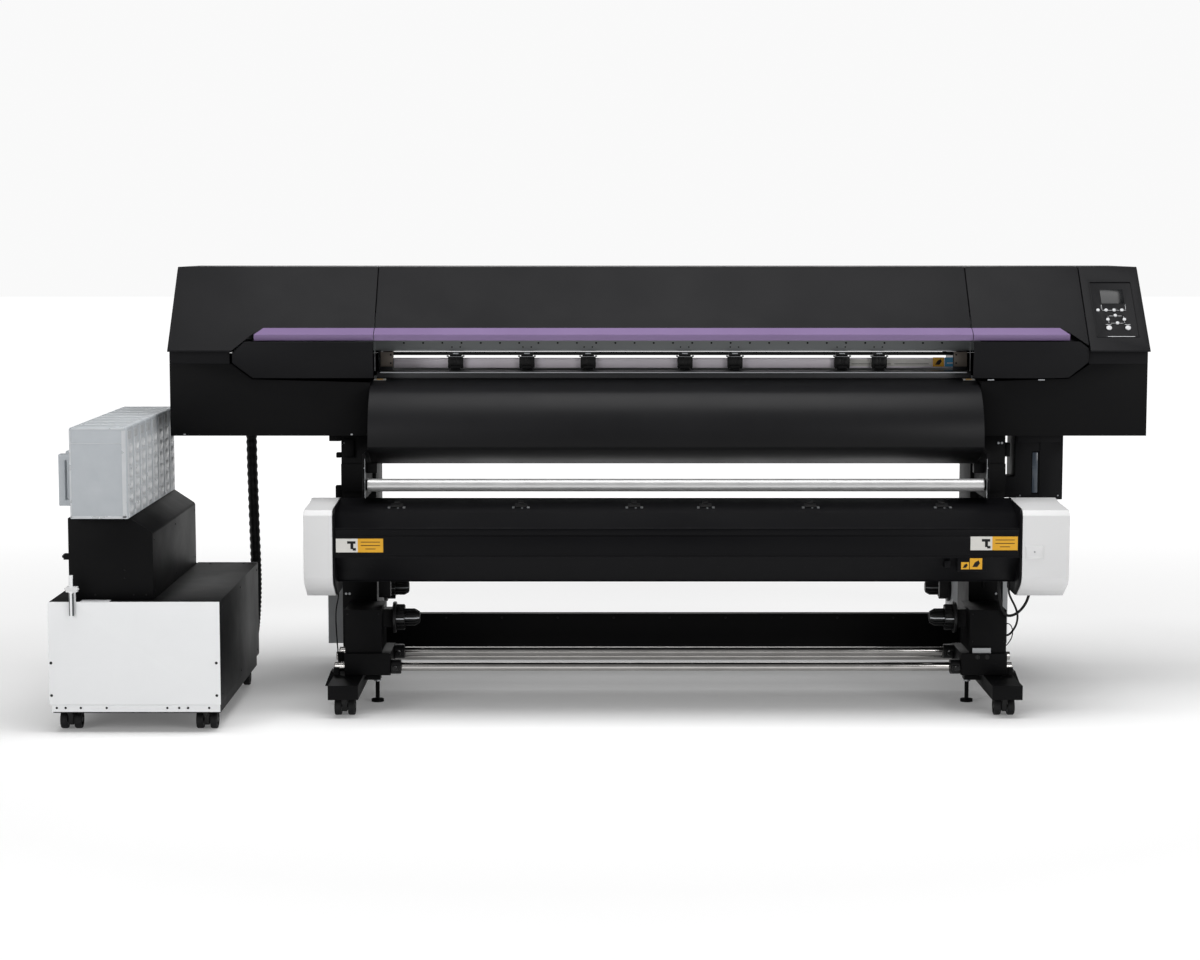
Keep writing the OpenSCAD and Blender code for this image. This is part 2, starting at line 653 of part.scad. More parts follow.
// Stepped core chuck, side is the way its nose points
module chuck(x, side, y, z) translate([x, y, z]) rotate([0, side * 90, 0]) {
    translate([0, 0, -14]) cylinder(r = 10, h = 16);
    cylinder(r = 45, h = 10);
    translate([0, 0, 10 - eps]) cylinder(r = 37.5, h = 24);
    translate([0, 0, 34 - 2 * eps]) cylinder(r = 25, h = 32);
    translate([0, 0, 66 - 3 * eps]) cylinder(r1 = 25, r2 = 17, h = 11);
}

module takeup_left_chuck() color("#1a1a1c") chuck(media_cx - 806.5, 1, core_y, core_z);
module takeup_right_chuck() color("#1a1a1c") chuck(media_cx + 811.5, -1, core_y, core_z);

// Rear supply side: two grey end housings on the feet, and their stay pipe
module supply_unit() color("#c4c6c8") {
    for (s = [-1, 1]) {
        a = media_cx + s * 1052;
        b = media_cx + s * 884;
        difference() {
            block([min(a, b), 425, 76], [max(a, b), 597, 330]);
            block([min(a, b) + wall, 425 + wall, 75], [max(a, b) - wall, 597 - wall, 330 - wall]);
            rod_x(media_cx + s * 884 - 30, media_cx + s * 884 + 30, supply_y, supply_z, 10 + fit);
        }
    }
    for (i = [0, 1]) block([foot_x[i] - 30, foot_y1 - 30, foot_z1], [foot_x[i] + 30, 430, foot_z1 + 26]);
    rod_x(media_cx - 886, media_cx + 886, 560, 104, pipe_d / 2);
}
supply_y = 510;
supply_z = 240;

module supply_chucks() color("#1a1a1c") {
    chuck(media_cx - 883.5, 1, supply_y, supply_z);
    chuck(media_cx + 883.5, -1, supply_y, supply_z);
}

// ---------------------------------------------------------------- dryer

function dryer_section() = [[-215, 600], [-345, 570], [-385, 538], [-408, 534], [-410, 457],
    [-330, 378], [-235, 378], [-215, 398]];

module dryer_housing() color("#19191b") {
    difference() {
        along_x(dryer_x0, dryer_x1) polygon(dryer_section());
        along_x(dryer_x0 - 1, dryer_x1 + 1) polygon([[-218, 596], [-343, 567], [-383, 535],
            [-406, 530], [-407, 459], [-328, 381], [-236, 381], [-218, 399]]);
    }
    // closing ribs at both ends
    for (x = [dryer_x0, dryer_x1 - 3]) along_x(x, x + 3) polygon(dryer_section());
}

// Moulded end caps, taller than the housing, with chamfered outer edges
module dryer_end_caps() color("#e6e7e8") {
    profile = [[-190, 598], [-250, 591], [-400, 586], [-414, 572], [-414, 400], [-400, 378],
        [-330, 338], [-200, 338], [-190, 350]];
    inner = [[-194, 594], [-250, 587], [-398, 582], [-410, 571], [-410, 401], [-397, 381],
        [-329, 342], [-203, 342], [-194, 351]];
    difference() {
        along_x(dryer_x0 - cap_left_w, dryer_x0 - 0.5) polygon(profile);
        along_x(dryer_x0 - cap_left_w + skin, dryer_x0) polygon(inner);
    }
    difference() {
        along_x(dryer_x1 + 0.5, dryer_x1 + cap_right_w) polygon(profile);
        along_x(dryer_x1, dryer_x1 + cap_right_w - skin) polygon(inner);
    }
    // clip plate on the right cap
    translate([dryer_x1 + 34, -414, 470]) rotate([90, 0, 0]) linear_extrude(3)
        square([50, 36], center = true);
}

// Waste-ink tank in its column under the right lower cover
module waste_ink_tank() color("#232325") {
    x0 = media_cx + 993;
    difference() {
        block([x0, -10, 572], [x0 + 140, 130, body_floor_z - 0.5]);
        block([x0 + 50, -12, 590], [x0 + 68, -4, 712]);
    }
    block([x0 - 32, -10, 578], [x0, 60, 640]);
}

// ---------------------------------------------------------------- ink cart

// Cabinet body with its base rail and four caster seats
module cart_cabinet() color("#1d1d20") {
    cart_pins = [[cart_x0 + 46, cart_y0 + 50], [cart_x1 - 46, cart_y0 + 50]];
    difference() {
        union() {
            difference() {
                block([cart_x0 + 3, cart_y0 + 3, cart_z0], [cart_x1, cart_y1, cart_top_z]);
                block([cart_x0 + 6, cart_y0 + 2, cart_z0 + 3], [cart_x1 - 3, cart_y1 - 3, cart_top_z - 3]);
            }
            difference() {
                block([cart_x0 + 8, cart_y0 + 6, foot_z0], [cart_x1 - 2, cart_y1 - 40, cart_z0 + eps]);
                block([cart_x0 + 84, cart_y0 + 30, foot_z0 - 1], [cart_x1 - 80, cart_y1 - 70, cart_z0]);
            }
        }
        for (p = cart_pins) translate([p[0], p[1], foot_z0 - 1]) cylinder(d = 12 + 2 * fit, h = 28);
    }
    for (x = cart_caster_xs) caster_fork([x, cart_y1 - 90], 18, false);
}
cart_caster_xs = [cart_x0 + 46, cart_x1 - 46];
cart_caster_y = cart_y0 + 50;

// White front panel that screws over the cabinet's open front
module cart_front_panel() color("#e9eaeb") {
    block([cart_x0, cart_y0 - 2, cart_z0 - 5], [cart_x1, cart_y0 + 3, cart_top_z]);
    // hose clip and drain tube at the upper left
    block([cart_x0 + 52, cart_y0 - 12, 386], [cart_x0 + 82, cart_y0 + 8, 400]);
    block([cart_x0 + 58, cart_y0 - 2, 350], [cart_x0 + 76, cart_y0 + 3, 390]);
    translate([cart_x0 + 66, cart_y0 - 8.5, 320]) cylinder(d = 11, h = 112);
}

// Housing of the ink supply, which the trays stand on
module ink_housing() color("#1d1d20") {
    y0 = cart_y0 + 38;
    y1 = cart_y1 - 12;
    outline = [[house_x0, cart_top_z], [house_x0, house_z1], [house_x0 + 167, house_z1],
        [house_x1 - 4, house_z1 - 38], [house_x1, house_z1 - 44], [house_x1, cart_top_z]];
    difference() {
        along_y(y0, y1) polygon(outline);
        along_y(y0 + 3, y1 - 3) polygon([[house_x0 + 3, cart_top_z - 1], [house_x0 + 3, house_z1 - 3],
            [house_x0 + 166, house_z1 - 3], [house_x1 - 5, house_z1 - 41],
            [house_x1 - 3, house_z1 - 45], [house_x1 - 3, cart_top_z - 1]]);
    }
    // stub of the drain cock on the left
    block([house_x0 - 16, y0 + 10, 466], [house_x0, y0 + 30, 482]);
}

// One ink tray with a grip at its left
module ink_tray(i) color("#d5dadd") {
    y0 = tray_y0 + (i - 1) * tray_pitch;
    z0 = house_z1 + 1;
    r = 8;
    difference() {
        union() {
            along_y(y0, y0 + tray_t) polygon(concat([[tray_x0, z0], [tray_x0 + tray_w, z0]],
                arc([tray_x0 + tray_w - r, z0 + tray_h - r], r, 0, 90, 4),
                arc([tray_x0 + r, z0 + tray_h - r], r, 90, 180, 4)));
            block([tray_x0 - 36, y0 + 30, z0 + 32], [tray_x0 + 1, y0 + 58, z0 + 172]);
        }
        block([tray_x0 - 18, y0 + 20, z0 + 48], [tray_x0 - 8, y0 + 70, z0 + 156]);
    }
}

module ink_tray_1() ink_tray(1);
module ink_tray_2() ink_tray(2);
module ink_tray_3() ink_tray(3);
module ink_tray_4() ink_tray(4);
module ink_tray_5() ink_tray(5);
module ink_tray_6() ink_tray(6);
module ink_tray_7() ink_tray(7);
module ink_tray_8() ink_tray(8);

module cart_left_caster() color("#151517") caster_fork([cart_caster_xs[0], cart_caster_y], 18, true);
module cart_left_wheels() color("#222225") caster_wheels([cart_caster_xs[0], cart_caster_y], 18);
module cart_right_caster() color("#151517") caster_fork([cart_caster_xs[1], cart_caster_y], 18, true);
module cart_right_wheels() color("#222225") caster_wheels([cart_caster_xs[1], cart_caster_y], 18);
module cart_rear_wheels() color("#222225") {
    for (x = cart_caster_xs) caster_wheels([x, cart_y1 - 90], 18);
}

// ---------------------------------------------------------------- cables

// Routes, in millimetres
power_route = [[1180, -230, 338], [1180, -230, 331], [1180, -230, 324], [1172, -230, 302],
    [1158, -230, 282], [1139, -230, 268], [1120, -230, 266], [1107, -230, 280],
    [1100, -231, 302], [1096, -233, 330], [1094, -238, 350], [1094, -240, 364],
    [1094, -240, 371], [1094, -240, 378]];
motor_route = [[1120, -250, 378], [1120, -250, 366], [1120, -250, 354], [1121, -246, 334],
    [1130, -232, 314], [1146, -212, 286], [1154, -202, 260], [1152, -193, 234],
    [1143, -176, 210], [1136, -156, 198], [1130, -150, 196], [1125, -150, 196],
    [1120, -150, 196]];
sensor_route = [[1120, -120, 222], [1124, -120, 222], [1129, -120, 222], [1136, -122, 225],
    [1143, -127, 225], [1149, -134, 218], [1151, -142, 204], [1147, -148, 188],
    [1139, -148, 174], [1133, -142, 165], [1128, -140, 164], [1124, -140, 164],
    [1120, -140, 164]];
left_route = [[-777, -204, 338], [-777, -204, 332], [-777, -204, 326], [-779, -203, 308],
    [-785, -198, 280], [-787, -192, 250], [-787, -184, 220], [-786, -176, 190],
    [-785, -168, 160], [-784, -160, 130], [-784, -154, 114], [-784, -152, 105],
    [-784, -152, 100], [-784, -152, 94]];
ink_route = [[-1092, 335, 769.99], [-1092, 335, 750], [-1092, 335, 730], [-1091, 335, 640],
    [-1089, 336, 540], [-1087, 338, 440], [-1085, 341, 350], [-1084, 341, 290],
    [-1084, 333, 235], [-1084, 309, 185], [-1084, 275, 147], [-1084, 240, 129],
    [-1084, 222, 129], [-1084, 202, 129]];

module takeup_leads() color("#111112") {
    tube(smooth(power_route, 2), 8);
    tube(smooth(motor_route, 2), 6);
    tube(smooth(sensor_route, 2), 3);
    tube(smooth(left_route, 2), 4);
}

module ink_tube() color("#151516") tube(smooth(ink_route, 2), 33, 10);

left_leg();
right_leg();
cross_beam();
takeup_rails();
main_beam();
rear_cover();
left_lower_cover();
right_lower_cover();
left_hood();
right_hood();
trim_strips();
platen();
apron();
control_panel();
display_window();
dryer_housing();
dryer_end_caps();
takeup_right_unit();
waste_ink_tank();
supply_unit();
cart_cabinet();
cart_front_panel();
ink_housing();
takeup_leads();
ink_tube();
front_cover();
front_cover_trim();
left_maintenance_cover();
right_maintenance_cover();
print_carriage();
cutter_carriage();
cutter_holder();
pinch_arms();
pinch_rollers();
grit_rollers();
guide_roller();
takeup_left_unit();
takeup_left_chuck();
takeup_right_chuck();
supply_chucks();
ink_tray_1();
ink_tray_2();
ink_tray_3();
ink_tray_4();
ink_tray_5();
ink_tray_6();
ink_tray_7();
ink_tray_8();
menu_keys();
command_keys();
printer_left_caster();
printer_left_wheels();
printer_right_caster();
printer_right_wheels();
cart_left_caster();
cart_left_wheels();
cart_right_caster();
cart_right_wheels();
printer_rear_wheels();
cart_rear_wheels();
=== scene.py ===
import json
import math

import bmesh
import bpy
from mathutils import Matrix, Vector

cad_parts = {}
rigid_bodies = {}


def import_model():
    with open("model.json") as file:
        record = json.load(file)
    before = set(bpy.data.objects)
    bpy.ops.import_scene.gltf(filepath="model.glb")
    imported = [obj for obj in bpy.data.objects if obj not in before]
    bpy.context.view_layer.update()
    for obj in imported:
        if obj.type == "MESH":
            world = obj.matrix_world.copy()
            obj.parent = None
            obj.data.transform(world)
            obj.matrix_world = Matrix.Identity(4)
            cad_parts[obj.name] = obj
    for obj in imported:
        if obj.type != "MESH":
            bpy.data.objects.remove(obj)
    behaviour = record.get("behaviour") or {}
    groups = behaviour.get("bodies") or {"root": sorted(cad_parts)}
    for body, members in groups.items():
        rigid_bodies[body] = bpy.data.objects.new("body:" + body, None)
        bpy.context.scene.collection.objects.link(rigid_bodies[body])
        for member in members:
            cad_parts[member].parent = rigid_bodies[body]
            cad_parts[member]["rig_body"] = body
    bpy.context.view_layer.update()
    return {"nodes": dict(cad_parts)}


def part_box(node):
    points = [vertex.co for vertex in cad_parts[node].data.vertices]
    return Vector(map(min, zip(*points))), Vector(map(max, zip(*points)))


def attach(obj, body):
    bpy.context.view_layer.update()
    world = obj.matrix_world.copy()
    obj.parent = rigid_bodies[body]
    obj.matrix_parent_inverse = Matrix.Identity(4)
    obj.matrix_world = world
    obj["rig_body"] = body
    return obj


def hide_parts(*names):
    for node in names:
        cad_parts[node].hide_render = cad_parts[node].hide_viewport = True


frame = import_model()
scene = bpy.context.scene
MM = 0.001

# ------------------------------------------------------------------ camera
# A long lens, a little over seven metres in front of the machine and
# looking slightly down on it, so that the whole machine and its cart show.
camera_data = bpy.data.cameras.new("camera")
camera_data.lens = 75
camera_data.sensor_width = 36
camera_data.shift_x = 8 / 1200
camera_data.clip_end = 60
camera = bpy.data.objects.new("camera", camera_data)
camera.location = (-0.057, -7.24, 1.37)
camera.rotation_euler = (math.radians(90 - 5.85), 0, 0)
scene.collection.objects.link(camera)
scene.camera = camera


# ------------------------------------------------------------------ cords
# Rubber-sheathed leads at the two ends of the dryer and the take-up, and the
# ink tube: a bundle of hoses in one ribbed sleeve that hangs from the machine
# and turns into the back of the cart.


def linear(colour):
    """An sRGB hex colour as linear red, green, blue and alpha."""
    values = [int(colour[i:i + 2], 16) / 255 for i in (1, 3, 5)]
    return [v / 12.92 if v <= 0.04045 else ((v + 0.055) / 1.055) ** 2.4 for v in values] + [1]


def add(tree, kind, settings=None, values=None, links=None):
    """Adds a node with its settings, its input values and its incoming links."""
    node = tree.nodes.new(kind)
    for key, value in (settings or {}).items():
        setattr(node, key, value)
    for key, value in (values or {}).items():
        node.inputs[key].default_value = value
    for key, (source, output) in (links or {}).items():
        tree.links.new(source.outputs[output], node.inputs[key])
    return node


def new_finish(name, colour, roughness, metallic=0.0, coat=0.0, specular=0.5):
    """A material with one Principled shader; returns it with its tree and shader."""
    material = bpy.data.materials.new(name)
    material.use_nodes = True
    tree = material.node_tree
    shader = tree.nodes["Principled BSDF"]
    shader.inputs["Base Color"].default_value = linear(colour)
    shader.inputs["Roughness"].default_value = roughness
    shader.inputs["Metallic"].default_value = metallic
    shader.inputs["Coat Weight"].default_value = coat
    shader.inputs["Specular IOR Level"].default_value = specular
    return material, tree, shader


def vary(tree, shader, light, dark, size_mm, rough_low, rough_high):
    """Slow change of colour and of gloss over the surface, as handling leaves it."""
    place = add(tree, "ShaderNodeTexCoord")
    cloud = add(tree, "ShaderNodeTexNoise", values={"Scale": 1000 / size_mm, "Detail": 5, "Roughness": 0.6},
                links={"Vector": (place, "Object")})
    mix = add(tree, "ShaderNodeMix", {"data_type": "RGBA"},
              {"A": linear(dark), "B": linear(light)}, {"Factor": (cloud, "Fac")})
    tree.links.new(mix.outputs["Result"], shader.inputs["Base Color"])
    gloss = add(tree, "ShaderNodeMapRange",
                values={"From Min": 0.3, "From Max": 0.7, "To Min": rough_low, "To Max": rough_high},
                links={"Value": (cloud, "Fac")})
    tree.links.new(gloss.outputs["Result"], shader.inputs["Roughness"])
    return place


def grain(tree, shader, place, size_mm, depth_mm):
    """Fine raised grain on a moulded or powder-coated surface."""
    noise = add(tree, "ShaderNodeTexNoise", values={"Scale": 1000 / size_mm, "Detail": 3},
                links={"Vector": (place, "Object")})
    bump = add(tree, "ShaderNodeBump", values={"Strength": 1, "Distance": depth_mm * MM},
               links={"Height": (noise, "Fac")})
    tree.links.new(bump.outputs["Normal"], shader.inputs["Normal"])


def worn(made, light, dark, cloud_mm, rough_low, rough_high, grain_mm=0, depth_mm=0):
    """Gives a new finish its slow change of colour and gloss, and its grain where it has one."""
    material, tree, shader = made
    place = vary(tree, shader, light, dark, cloud_mm, rough_low, rough_high)
    if grain_mm:
        grain(tree, shader, place, grain_mm, depth_mm)
    return material


# Rubber sheath: dull black with a soft sheen where it has been rubbed
sheath = worn(new_finish("rubber_sheath", "#0c0c0d", 0.5, specular=0.25),
              "#101011", "#0a0a0b", 60, 0.42, 0.6, grain_mm=1.5, depth_mm=0.05)


def smooth(points, steps):
    """Points on a smooth curve through the given points."""
    line = []
    for i in range(len(points) - 1):
        a, b = points[max(i - 1, 0)], points[i]
        c, d = points[i + 1], points[min(i + 2, len(points) - 1)]
        for k in range(steps):
            t = k / steps
            line.append(0.5 * (2 * b + (c - a) * t + (2 * a - 5 * b + 4 * c - d) * t * t
                               + (3 * b - a - 3 * c + d) * t ** 3))
    return line + [points[-1]]


def route(*points):
    """Given places in millimetres, as points in metres."""
    return [Vector(p) * MM for p in points]


def lead(name, points, diameter):
    """One round lead along its route, from the housing it leaves to the one it enters."""
    line = smooth(points, 4)
    curve = bpy.data.curves.new(name, "CURVE")
    curve.dimensions = "3D"
    spline = curve.splines.new("POLY")
    spline.points.add(len(line) - 1)
    for point, place in zip(spline.points, line):
        point.co = (*place, 1)
    curve.bevel_depth = diameter / 2
    curve.bevel_resolution = 3
    curve.use_fill_caps = True
    curve.materials.append(sheath)
    piece = bpy.data.objects.new(name, curve)
    scene.collection.objects.link(piece)
    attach(piece, "root")
    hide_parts("takeup_leads")


lead("dryer_power_lead", route(
    (1180, -230, 338), (1180, -230, 331), (1180, -230, 324), (1172, -230, 302),
    (1158, -230, 282), (1139, -230, 268), (1120, -230, 266), (1107, -230, 280),
    (1100, -231, 302), (1096, -233, 330), (1094, -238, 350), (1094, -240, 364),
    (1094, -240, 371), (1094, -240, 378)), 8 * MM)
lead("takeup_motor_lead", route(
    (1120, -250, 378), (1120, -250, 366), (1120, -250, 354), (1121, -246, 334),
    (1130, -232, 314), (1146, -212, 286), (1154, -202, 260), (1152, -193, 234),
    (1143, -176, 210), (1136, -156, 198), (1130, -150, 196), (1125, -150, 196),
    (1120, -150, 196)), 6 * MM)
lead("takeup_sensor_lead", route(
    (1120, -120, 222), (1124, -120, 222), (1129, -120, 222), (1136, -122, 225),
    (1143, -127, 225), (1149, -134, 218), (1151, -142, 204), (1147, -148, 188),
    (1139, -148, 174), (1133, -142, 165), (1128, -140, 164), (1124, -140, 164),
    (1120, -140, 164)), 3 * MM)
lead("left_sensor_lead", route(
    (-777, -204, 338), (-777, -204, 332), (-777, -204, 326), (-779, -203, 308),
    (-785, -198, 280), (-787, -192, 250), (-787, -184, 220), (-786, -176, 190),
    (-785, -168, 160), (-784, -160, 130), (-784, -154, 114), (-784, -152, 105),
    (-784, -152, 100), (-784, -152, 94)), 4 * MM)


def piece_from(name, bm, material, body, nodes=(), smooth_angle=35):
    """Turns a bmesh into a finished piece at the origin that rides on a CAD body."""
    mesh = bpy.data.meshes.new(name)
    bm.to_mesh(mesh)
    bm.free()
    piece = bpy.data.objects.new(name, mesh)
    scene.collection.objects.link(piece)
    if material is not None:
        mesh.materials.append(material)
    mesh.shade_smooth()
    mesh.set_sharp_from_angle(angle=math.radians(smooth_angle))
    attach(piece, body)
    if nodes:
        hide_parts(*nodes)
    return piece


def swept(bm, line, radii, sides):
    """A closed tube along a line, with its own radius at each point; the rings don't twist."""
    up = Vector((1, 0, 0))
    rings = []
    for i, (place, radius) in enumerate(zip(line, radii)):
        along = (line[min(i + 1, len(line) - 1)] - line[max(i - 1, 0)]).normalized()
        across = (up - along * up.dot(along)).normalized()
        up = across
        third = along.cross(across)
        rings.append([bm.verts.new(place + radius * (math.cos(a) * across + math.sin(a) * third))
                      for a in (2 * math.pi * k / sides for k in range(sides))])
    for a, b in zip(rings, rings[1:]):
        for k in range(sides):
            bm.faces.new((a[k], a[(k + 1) % sides], b[(k + 1) % sides], b[k]))
    bm.faces.new(rings[0][::-1])
    bm.faces.new(rings[-1])


tube_line = smooth(route(
    (-1092, 335, 769.99), (-1092, 335, 750), (-1092, 335, 730), (-1091, 335, 640),
    (-1089, 336, 540), (-1087, 338, 440), (-1085, 341, 350), (-1084, 341, 290),
    (-1084, 333, 235), (-1084, 309, 185), (-1084, 275, 147), (-1084, 240, 129),
    (-1084, 222, 129), (-1084, 202, 129)), 16)
tube_radius = 16.5 * MM
# The sleeve is ribbed: two full rings, then two a little narrower
tube_ribs = [1, 1, 0.9, 0.9]
tube_mesh = bmesh.new()
swept(tube_mesh, tube_line, [tube_radius * tube_ribs[i % 4] for i in range(len(tube_line))], 20)
ink_sleeve = piece_from("ink_tube_sleeve", tube_mesh, sheath, "root", ["ink_tube"])

# ------------------------------------------------------------------ casters
# Twin-wheel furniture casters: black nylon brackets and two hard wheels with
# grey hub discs on a steel axle. The front ones swivel on a stem in the foot.

# Nylon: near-black, smooth from the mould, dusty near the tread
nylon = worn(new_finish("nylon", "#101011", 0.42, specular=0.3),
             "#131314", "#0b0b0c", 40, 0.35, 0.5, grain_mm=1.2, depth_mm=0.04)
# Polyurethane tread: softer and greyer than the hub
tread = worn(new_finish("polyurethane_tread", "#161617", 0.62, specular=0.25),
             "#1c1c1d", "#111112", 25, 0.55, 0.72, grain_mm=1.0, depth_mm=0.06)


# Edges that turn by more than this are eased, in degrees
SHARP = 30


def softened(node, name, width, material, segments=2):
    """The CAD node's own shape with its edges eased, as folding, moulding or deburring leaves them."""
    source = frame["nodes"][node]
    bm = bmesh.new()
    bm.from_mesh(source.data)
    bmesh.ops.remove_doubles(bm, verts=bm.verts, dist=0.02 * MM)
    bmesh.ops.dissolve_limit(bm, angle_limit=math.radians(1.5), verts=bm.verts, edges=bm.edges)
    mesh = bpy.data.meshes.new(name)
    bm.to_mesh(mesh)
    bm.free()
    rough = bpy.data.objects.new(name + "_rough", mesh)
    scene.collection.objects.link(rough)
    bevel = rough.modifiers.new("eased", "BEVEL")
    bevel.width = width
    bevel.segments = segments
    bevel.limit_method = "ANGLE"
    bevel.angle_limit = math.radians(SHARP)
    bevel.use_clamp_overlap = True
    done = flat_copy(rough, name)
    done.materials.clear()
    done.materials.append(material)
    done.shade_smooth()
    done.set_sharp_from_angle(angle=math.radians(40))
    piece = bpy.data.objects.new(name, done)
    scene.collection.objects.link(piece)
    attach(piece, source["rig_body"])
    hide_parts(node)


def flat_copy(source, name):
    """The evaluated mesh of an object with modifiers, as a plain mesh; the source is removed."""
    bpy.context.view_layer.update()
    graph = bpy.context.evaluated_depsgraph_get()
    mesh = bpy.data.meshes.new_from_object(source.evaluated_get(graph))
    mesh.name = name
    bpy.data.objects.remove(source)
    return mesh


def lathe(bm, profile, centre, axis="X", sides=48, material=0):
    """Turns a closed outline of (along, radius) pairs round an axis through the centre."""
    turn = {"X": Matrix(((1, 0, 0), (0, 1, 0), (0, 0, 1))),
            "Y": Matrix(((0, 1, 0), (1, 0, 0), (0, 0, 1))),
            "Z": Matrix(((0, 0, 1), (0, 1, 0), (1, 0, 0)))}[axis]
    rings = []
    for k in range(sides):
        a = 2 * math.pi * k / sides
        rings.append([bm.verts.new(centre + turn @ Vector((u, r * math.cos(a), r * math.sin(a))))
                      for u, r in profile])
    made = []
    for k in range(sides):
        here, there = rings[k], rings[(k + 1) % sides]
        for i in range(len(profile)):
            j = (i + 1) % len(profile)
            if profile[i][1] < 1e-6 and profile[j][1] < 1e-6:
                continue
            made.append(bm.faces.new((here[i], here[j], there[j], there[i])))
    for face in made:
        face.material_index = material
    bmesh.ops.remove_doubles(bm, verts=[v for ring in rings for v in ring], dist=1e-6)
    return made


wheel_r = 25 * MM
wheel_half = 9.5 * MM
wheel_offset = 19 * MM
axle_r, axle_half = 4 * MM, 20 * MM


def caster_wheel(bm, centre, side):
    """One wheel: rounded tread, then a dished hub disc with a cap on its outer side."""
    w, r = wheel_half, wheel_r
    tread_outline = [(-w, 0.72 * r), (-w, 0.92 * r), (-0.7 * w, r), (0.7 * w, r), (w, 0.92 * r),
                     (w, 0.72 * r)]
    lathe(bm, tread_outline, centre, material=0)
    hub = [(-side * w * 0.9, 0), (-side * w * 0.9, 0.72 * r), (side * w * 0.85, 0.72 * r),
           (side * w * 0.5, 0.62 * r), (side * w * 0.45, 0.34 * r), (side * w, 0.28 * r), (side * w, 0)]
    lathe(bm, hub, centre, material=1)


def caster_pair(name, node, places):
    """The wheels of one CAD node, two to each place, on a common steel axle."""
    bm = bmesh.new()
    for x, y in places:
        for side in (-1, 1):
            caster_wheel(bm, Vector((x + side * wheel_offset, y, wheel_r)), side)
        lathe(bm, [(-axle_half, 0), (-axle_half, axle_r), (axle_half, axle_r), (axle_half, 0)],
              Vector((x, y, wheel_r)), sides=16, material=1)
    bmesh.ops.recalc_face_normals(bm, faces=bm.faces)
    body = frame["nodes"][node]["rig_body"]
    piece = piece_from(name, bm, tread, body, [node])
    piece.data.materials.append(nylon)
    return piece


for node in ("printer_left", "printer_right", "cart_left", "cart_right"):
    low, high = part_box(node + "_wheels")
    middle = (low + high) / 2
    caster_pair(node + "_wheel_pair", node + "_wheels", [(middle.x, middle.y)])
    softened(node + "_caster", node + "_caster_bracket", 1.5 * MM, nylon)
for node in ("printer_rear_wheels", "cart_rear_wheels"):
    low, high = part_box(node)
    pair_half = wheel_offset + wheel_half
    caster_pair(node + "_pair", node, [(low.x + pair_half, (low.y + high.y) / 2),
                                       (high.x - pair_half, (low.y + high.y) / 2)])

# ------------------------------------------------------------------ stand
# Two folded-steel leg columns on long feet, joined by a folded cross beam and
# powder-coated black after bending. Screws are pan heads, blacked or bright.

# Powder coat: fine orange-peel texture, half matt, slightly lighter where it catches light
powder = worn(new_finish("black_powder_coat", "#0c0c0d", 0.5, specular=0.08),
              "#0f0f10", "#09090a", 220, 0.44, 0.56, grain_mm=2.2, depth_mm=0.05)
# Zinc-plated steel: screw heads, axles and small brackets
zinc = worn(new_finish("zinc_plated_steel", "#a9abae", 0.34, 1.0),
            "#b6b8bb", "#8f9194", 30, 0.28, 0.42, grain_mm=0.8, depth_mm=0.02)
# Black oxide steel: dark screw heads
oxide = worn(new_finish("black_oxide_steel", "#0c0c0d", 0.45, 0.6),
             "#141415", "#08080a", 20, 0.38, 0.52, grain_mm=0.8, depth_mm=0.02)

for node, width in (("left_leg", 1.8), ("right_leg", 1.8), ("cross_beam", 1.2)):
    softened(node, node + "_steel", width * MM, powder)


